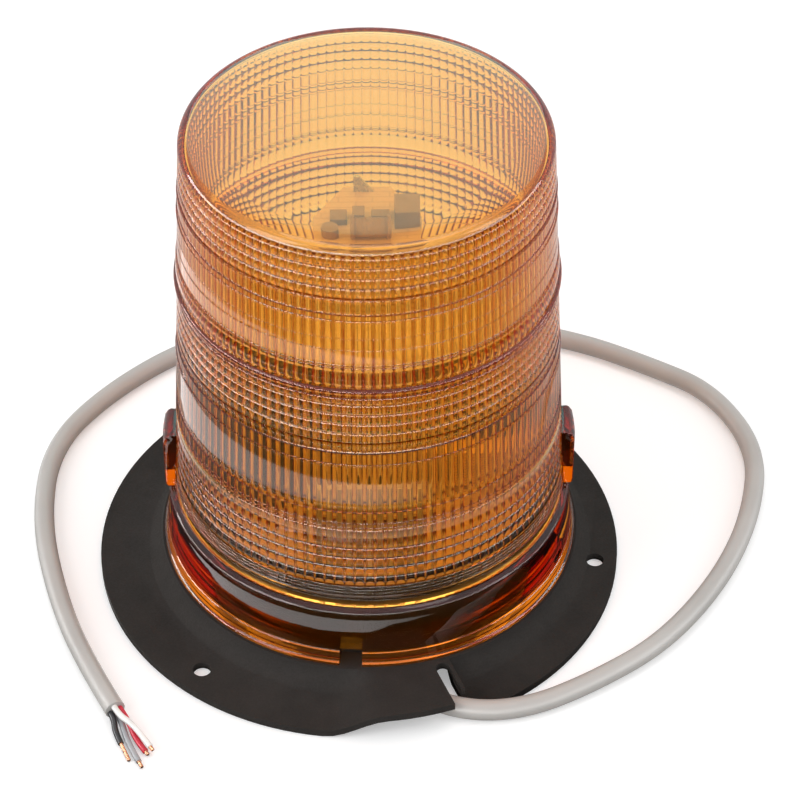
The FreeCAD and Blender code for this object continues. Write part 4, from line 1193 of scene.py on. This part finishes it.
    def close_shell(
        self,
        grids: list[np.ndarray],
        angles: np.ndarray,
        places: np.ndarray,
        outer: np.ndarray,
        inner: np.ndarray,
    ) -> Object:
        """Joins the two grids at the foot, closes both poles and cuts the notch out of the skirt.

        Args:
            grids: points outside, from the top down, and inside, from the foot up.
            angles: the inside columns' angles in degrees.
            places: the outside columns' places among the inside ones.
            outer: heights of the outside's rows.
            inner: heights of the inside's rows.

        Returns:
            The closed shell.
        """
        wide, fine = len(places), len(angles)
        count = len(outer) * wide
        sides = [int(np.argmin(np.abs(angles - edge))) for edge in self.notch_edges()]
        outer_sides = [int(np.searchsorted(places, side)) for side in sides]
        first = int(np.argmax(np.abs(outer - self.notch_height) < 1e-6))
        last = int(np.argmax(np.abs(inner - self.notch_height) < 1e-6))
        keep = np.ones((len(outer) - 1, wide), dtype=bool)
        keep[first:, outer_sides[0] : outer_sides[1]] = False
        made = grid_faces(len(outer), wide, False, True).reshape(-1, wide, 4)[keep].tolist()
        keep = np.ones((len(inner) - 1, fine), dtype=bool)
        keep[:last, sides[0] : sides[1]] = False
        made += (grid_faces(len(inner), fine, False, True).reshape(-1, fine, 4)[keep] + count).tolist()
        for column in range(wide):
            notched = outer_sides[0] <= column < outer_sides[1]
            row, inner_row = (first, last) if notched else (len(outer) - 1, 0)
            end = places[column + 1] if column + 1 < wide else fine
            base = count + inner_row * fine
            across = [base + place % fine for place in range(end, places[column] - 1, -1)]
            made.append([row * wide + column, row * wide + (column + 1) % wide, *across])
        for column, place in zip(outer_sides, sides):
            down = [row * wide + column for row in range(first, len(outer))]
            made.append(down + [count + row * fine + place for row in range(last + 1)])
        points = np.concatenate([grid.reshape(-1, 3) for grid in grids])
        tips = [[AXIS_X, 0, LENS_FOOT + self.height], [AXIS_X, 0, LENS_FOOT + self.height - self.wall]]
        around = np.arange(wide)
        made += np.stack([(around + 1) % wide, around, np.full(wide, len(points))], axis=-1).tolist()
        around = len(points) - fine + np.arange(fine)
        made += np.stack([around, np.roll(around, -1), np.full(fine, len(points) + 1)], axis=-1).tolist()
        return link_mesh("lens_shell", np.concatenate([points, np.array(tips)]), made, 32.0)

    def ear(self, side: int) -> Mesh:
        """A grip ear on one side: an upright block on the wall with rounded edges and a sunk window.

        Its outer face is a function of the share across and up: the ear's radius less a smooth drop at its
        rim and the window's depth inside the window.

        Args:
            side: 1 for +X and -1 for -X.

        Returns:
            Points and faces of the closed block.
        """
        low, high = self.ear_heights
        half = math.degrees(6.8 / 64.2)
        across = np.array([-1, -0.97, -0.9, -0.5, -0.44, -0.38, 0, 0.38, 0.44, 0.5, 0.9, 0.97, 1])
        share = np.array([0, 0.02, 0.06, 0.2, 0.26, 0.29, 0.5, 0.79, 0.82, 0.86, 0.92, 0.98, 1])
        u, v = np.meshgrid(across, share)
        height = low + (high - low) * v
        rim = np.minimum(1, np.minimum((1 - np.abs(u)) / 0.1, np.minimum(v / 0.06, (1 - v) / 0.08)))
        outer = 64.15 - 0.7 * (1 - np.sqrt(np.clip(1 - (1 - rim) ** 2, 0, 1)))
        window = (np.abs(u) <= 0.44) & (v >= 0.27) & (v <= 0.81)
        outer = np.where(window, outer - 1.4, outer) - 1.2 * np.clip((v - 0.86) / 0.14, 0, 1) ** 2
        inner = self.wall_radius(height) - 0.25
        middle = 0.0 if side > 0 else np.pi
        turn = middle + np.radians(half) * u
        layers = []
        for radius in (outer, inner):
            x, y = AXIS_X + radius * np.cos(turn), radius * np.sin(turn)
            layers.append(np.stack([x, y, height + LENS_FOOT], axis=-1).reshape(-1, 3))
        rows, columns = u.shape
        count = rows * columns
        front = grid_faces(rows, columns)
        faces = front.tolist() + (front + count).tolist()
        border = [
            *range(columns),
            *[row * columns + columns - 1 for row in range(1, rows)],
            *[count - 1 - step for step in range(1, columns)],
            *[row * columns for row in range(rows - 2, 0, -1)],
        ]
        following = border[1:] + border[:1]
        faces += [[a, b, b + count, a + count] for a, b in zip(border, following)]
        return np.concatenate(layers), faces

    def build(self) -> None:
        """Makes the shell and both ears."""
        amber = Amber().material()
        settle(self.shell(), amber, Body.LENS, "amber_lens", "lens")
        for side, name in ((1, "grip_ear_right"), (-1, "grip_ear_left")):
            settle(link_mesh(name, *self.ear(side)), amber, Body.LENS, "amber_lens")


# Screws


@dataclass(frozen=True)
class ScrewSet:
    """Like screws that stand on one level."""

    name: str
    node: str
    spots: tuple[tuple[float, float], ...]
    face: float
    length: float
    upwards: bool = False
    recess: Recess = Recess.CROSS
    shank_radius: float = 1.5
    head_radius: float = 3.0
    head_height: float = 1.9
    body: Body = Body.BASE

    def one(self, x: float, y: float) -> Mesh:
        """One screw: its shank and shoulder, and a domed head with a recess.

        The head's height is a function of the radius r and angle a: a dome, less the recess's depth where
        the point lies within an arm's width and the arm's reach, eased at the arm's edges.

        Args:
            x: place across.
            y: place along.

        Returns:
            Points and faces of the closed screw.
        """
        columns = 40
        angle = np.linspace(0, 2 * np.pi, columns, endpoint=False)[None, :]
        share = np.array([1.0, 0.985, 0.9, 0.8, 0.7, 0.6, 0.5, 0.4, 0.3, 0.2, 0.1])[:, None]
        radius = self.head_radius * share
        dome = self.head_height * (1 - 0.45 * share**4)
        px, py = np.abs(radius * np.cos(angle)), np.abs(radius * np.sin(angle))
        arm, reach = self.head_radius * 0.17, self.head_radius * 0.66
        if self.recess is Recess.CROSS:
            away = np.maximum(np.minimum(px, py) - arm, np.maximum(px, py) - reach)
        else:
            away = py - arm
        depth = self.head_height * 0.55 * np.clip(0.5 - away / 0.3, 0, 1)
        top = dome - depth
        sign = -1.0 if self.upwards else 1.0
        low = np.array([
            (self.shank_radius, -self.length),
            (self.shank_radius, -0.1),
            (self.shank_radius + 0.1, 0.0),
            (self.head_radius - 0.15, 0.0),
            (self.head_radius, 0.15),
        ])
        radii = np.concatenate([np.repeat(low[:, :1], columns, 1), np.repeat(radius, columns, 1)])
        heights = np.concatenate([np.repeat(low[:, 1:], columns, 1), top])
        levels = self.face + sign * heights
        points = np.stack([x + radii * np.cos(angle), y + radii * np.sin(angle), levels], axis=-1)
        points = points.reshape(-1, 3)
        faces = grid_faces(len(radii), columns, False, True).tolist()
        count = len(points)
        crown = self.face + sign * float(self.head_height * 0.45)
        points = np.concatenate([points, [[x, y, self.face - sign * self.length], [x, y, crown]]])
        around = np.arange(columns)
        after = (around + 1) % columns
        last = (len(radii) - 1) * columns
        faces += np.stack([after, around, np.full(columns, count)], axis=-1).tolist()
        faces += np.stack([last + around, last + after, np.full(columns, count + 1)], axis=-1).tolist()
        return points, faces

    def build(self, material: Material) -> None:
        """Makes all the screws as one piece.

        Args:
            material: what they are made of.
        """
        obj = link_mesh(self.name, *join_meshes([self.one(x, y) for x, y in self.spots]), 35.0)
        settle(obj, material, self.body, "plated_steel", self.node)


def circle_spots(radius: float, count: int, first: float) -> tuple[tuple[float, float], ...]:
    """Places evenly round the lens's axis.

    Args:
        radius: radius of their circle.
        count: how many there are.
        first: angle of the first in degrees.

    Returns:
        x and y of each.
    """
    turns = np.radians(first + 360.0 / count * np.arange(count))
    return tuple((AXIS_X + radius * math.cos(turn), radius * math.sin(turn)) for turn in turns)


# Base and inner works


@dataclass
class BaseUnit:
    """Flexible flange, base cup, clamp ring and seal."""

    clamp_circle: float = 52.0
    clamp_face: float = 4.0

    def build(self) -> None:
        """Dresses the pieces under and inside the skirt."""
        rubber = Moulded("flange_rubber", (0.018, 0.015, 0.013), 0.82, 0.55, 0.05, 0.16, 9.0, 0.18)
        dress("mounting_flange", "flange_pad", rubber.material(), "flange_rubber", 0.3)
        black = Moulded("base_plastic", (0.010, 0.008, 0.008), 0.5, 0.7, 0.015, 0.1, 16.0, 0.2)
        dress("base_housing", "base_cup", black.material(), "base_plastic")
        plated = Metal("zinc_plate", (0.66, 0.66, 0.64), 0.32).material()
        dress("clamp_ring", "flange_clamp", plated, "plated_steel")
        spots = circle_spots(self.clamp_circle, 6, 0)
        ScrewSet("clamp_screw_heads", "clamp_screws", spots, self.clamp_face, 12.0, True).build(plated)
        soft = Moulded("soft_rubber", (0.03, 0.03, 0.03), 0.6, 0.5, 0.02, 0.1, 8.0).material()
        dress("cable_grommet", "cable_bush", soft, "grommet_rubber", 0.15)
        dress("lens_seal", "lens_gasket", soft, "seal_rubber", 0.15, Body.SEAL)


@dataclass
class BoardTower:
    """Main board with its parts, and the white deck on pillars above it."""

    board_face: float = 35.6
    deck_face: float = 81.6
    terminal_face: float = 45.6
    terminal_pitch: float = 5.5
    terminal_row: float = 27.1

    def build(self) -> None:
        """Dresses the main board and all that stands on it."""
        plated = Metal("zinc_plate_fine", (0.66, 0.66, 0.64), 0.3, (6.0, 6.0, 1.0)).material()
        board = CircuitBoard("main_board", (0.60, 0.47, 0.30), (0.48, 0.37, 0.23)).material()
        dress("main_circuit_board", "main_board_plate", board, "board", 0.1)
        dress("board_standoffs", "board_posts", plated, "plated_steel")
        spots = circle_spots(42.0, 4, 45)
        ScrewSet("board_screw_heads", "board_screws", spots, self.board_face, 10.0).build(plated)
        spots = circle_spots(15.0, 3, -90)
        ScrewSet("deck_screw_heads", "deck_screws", spots, self.deck_face, 8.0).build(plated)
        sleeve = Moulded("capacitor_sleeve", (0.03, 0.035, 0.06), 0.22, 1.4, 0.01, 0.1, 12.0)
        dress("storage_capacitor", "flash_capacitor", sleeve.material(), "capacitor_sleeve")
        ferrite = Moulded("ferrite", (0.05, 0.05, 0.052), 0.55, 0.35, 0.03, 0.15, 5.0)
        dress("transformer_core", "step_up_core", ferrite.material(), "ferrite")
        tape = Winding("winding_tape", (0.72, 0.50, 0.12), 1.2)
        dress("transformer_winding", "step_up_winding", tape.material(), "winding_tape")
        aluminium = Metal("drawn_aluminium", (0.78, 0.78, 0.79), 0.36, (14.0, 14.0, 1.0))
        dress("heat_sink", "finned_sink", aluminium.material(), "aluminium", 0.1)
        case = Moulded("component_case", (0.04, 0.04, 0.042), 0.4, 0.4, 0.012, 0.12, 4.0).material()
        dress("switching_transistor", "switching_device", case, "component_plastic", 0.1)
        dress("filter_components", "filter_parts", case, "component_plastic", 0.15)
        green = Moulded("terminal_case", (0.06, 0.26, 0.10), 0.35, 0.6, 0.01, 0.08, 8.0)
        dress("terminal_block", "wire_terminals", green.material(), "terminal_plastic", 0.15)
        heads = tuple(
            (AXIS_X + (index - 1.5) * self.terminal_pitch, self.terminal_row) for index in range(4)
        )
        small = (self.terminal_face, 0.9, False, Recess.SLOT, 1.4, 1.85, 0.95)
        ScrewSet("terminal_screw_heads", "terminal_screws", heads, *small).build(plated)
        wire = Moulded("feed_insulation", (0.55, 0.03, 0.04), 0.3, 0.6, 0.006, 0.06, 6.0)
        dress("feed_wires", "feed_leads", wire.material(), "red_wire", 0)
        pale = Moulded("pillar_plastic", (0.74, 0.73, 0.70), 0.4, 0.6, 0.01, 0.06, 10.0)
        dress("tower_pillars", "deck_pillars", pale.material(), "pillar_plastic")
        white = Moulded("deck_paint", (0.80, 0.79, 0.76), 0.28, 0.8, 0.012, 0.04, 20.0)
        dress("tube_deck", "reflector_deck", white.material(), "deck_white")
        ceramic = Moulded("ceramic", (0.80, 0.78, 0.72), 0.3, 0.5, 0.015, 0.06, 7.0)
        dress("tube_socket", "lamp_socket", ceramic.material(), "ceramic")


@dataclass
class LampHead:
    """Plug-in flash tube under a small trigger board."""

    span: float = 7.0
    leg: float = 15.0
    foot: float = 95.9
    outer: float = 3.6
    wire_radius: float = 0.22
    wire_turns: float = 9.0

    def trigger_wire(self) -> Object:
        """Fine wire wound round the glass along the bend.

        The path turns round the tube's centre line: at share s the centre line is the half circle of the
        bend, and the wire lies at the tube's radius from it at the angle 2 pi turns s.

        Returns:
            The wire.
        """
        share = np.linspace(0, 1, 400)
        bend = np.pi * share
        flat = np.zeros(400)
        level = self.foot + self.leg + self.span * np.sin(bend)
        centre = np.stack([AXIS_X - self.span * np.cos(bend), flat, level], axis=-1)
        out = np.stack([-np.cos(bend), flat, np.sin(bend)], axis=-1)
        side = np.array([0.0, 1.0, 0.0])
        angle = 2 * np.pi * self.wire_turns * share
        reach = self.outer - self.wire_radius * 0.2
        path = centre + reach * (out * np.cos(angle)[:, None] + side * np.sin(angle)[:, None])
        return link_mesh("trigger_lead", *tube_mesh(path, self.wire_radius, 6, (0.31, 0.72, 0.62)), 60.0)

    def build(self) -> None:
        """Dresses the lamp head."""
        ceramic = Moulded("head_ceramic", (0.80, 0.78, 0.72), 0.3, 0.5, 0.015, 0.06, 7.0).material()
        steel = Metal("head_steel", (0.64, 0.63, 0.61), 0.28, (6.0, 6.0, 1.0)).material()
        head = Body.HEAD
        dress("tube_base", "tube_foot", ceramic, "ceramic", body=head)
        dress("tube_pins", "plug_pins", steel, "plated_steel", body=head)
        dress("flash_tube", "flash_tube_glass", ClearGlass().material(), "tube_glass", 0, head)
        dress("tube_electrodes", "tungsten_electrodes", steel, "plated_steel", body=head)
        settle(self.trigger_wire(), steel, head, "plated_steel")
        dress("head_rods", "board_rods", steel, "plated_steel", body=head)
        board = CircuitBoard("trigger_laminate", (0.60, 0.47, 0.31), (0.48, 0.37, 0.24)).material()
        dress("trigger_board", "trigger_board_plate", board, "board", 0.1, head)
        case = Moulded("trigger_case", (0.27, 0.19, 0.15), 0.4, 0.4, 0.012, 0.12, 4.0).material()
        dress("trigger_parts", "trigger_devices", case, "component_plastic", 0.15, head)
        wire = Winding("trigger_winding", (0.45, 0.30, 0.14), 0.4, "X").material()
        dress("trigger_coil", "pulse_coil", wire, "winding_tape", 0.15, head)
        dress("board_tab", "board_flag", steel, "plated_steel", 0.1, head)


def main() -> None:
    """Builds the studio and every sub-assembly."""
    logging.basicConfig(level=logging.INFO, format="%(name)s: %(message)s")
    for part in (Studio(), SupplyCable(), BaseUnit(), BoardTower(), LampHead(), Lens()):
        part.build()
        LOG.info("%s built", type(part).__name__)


if __name__ == "__main__":
    main()
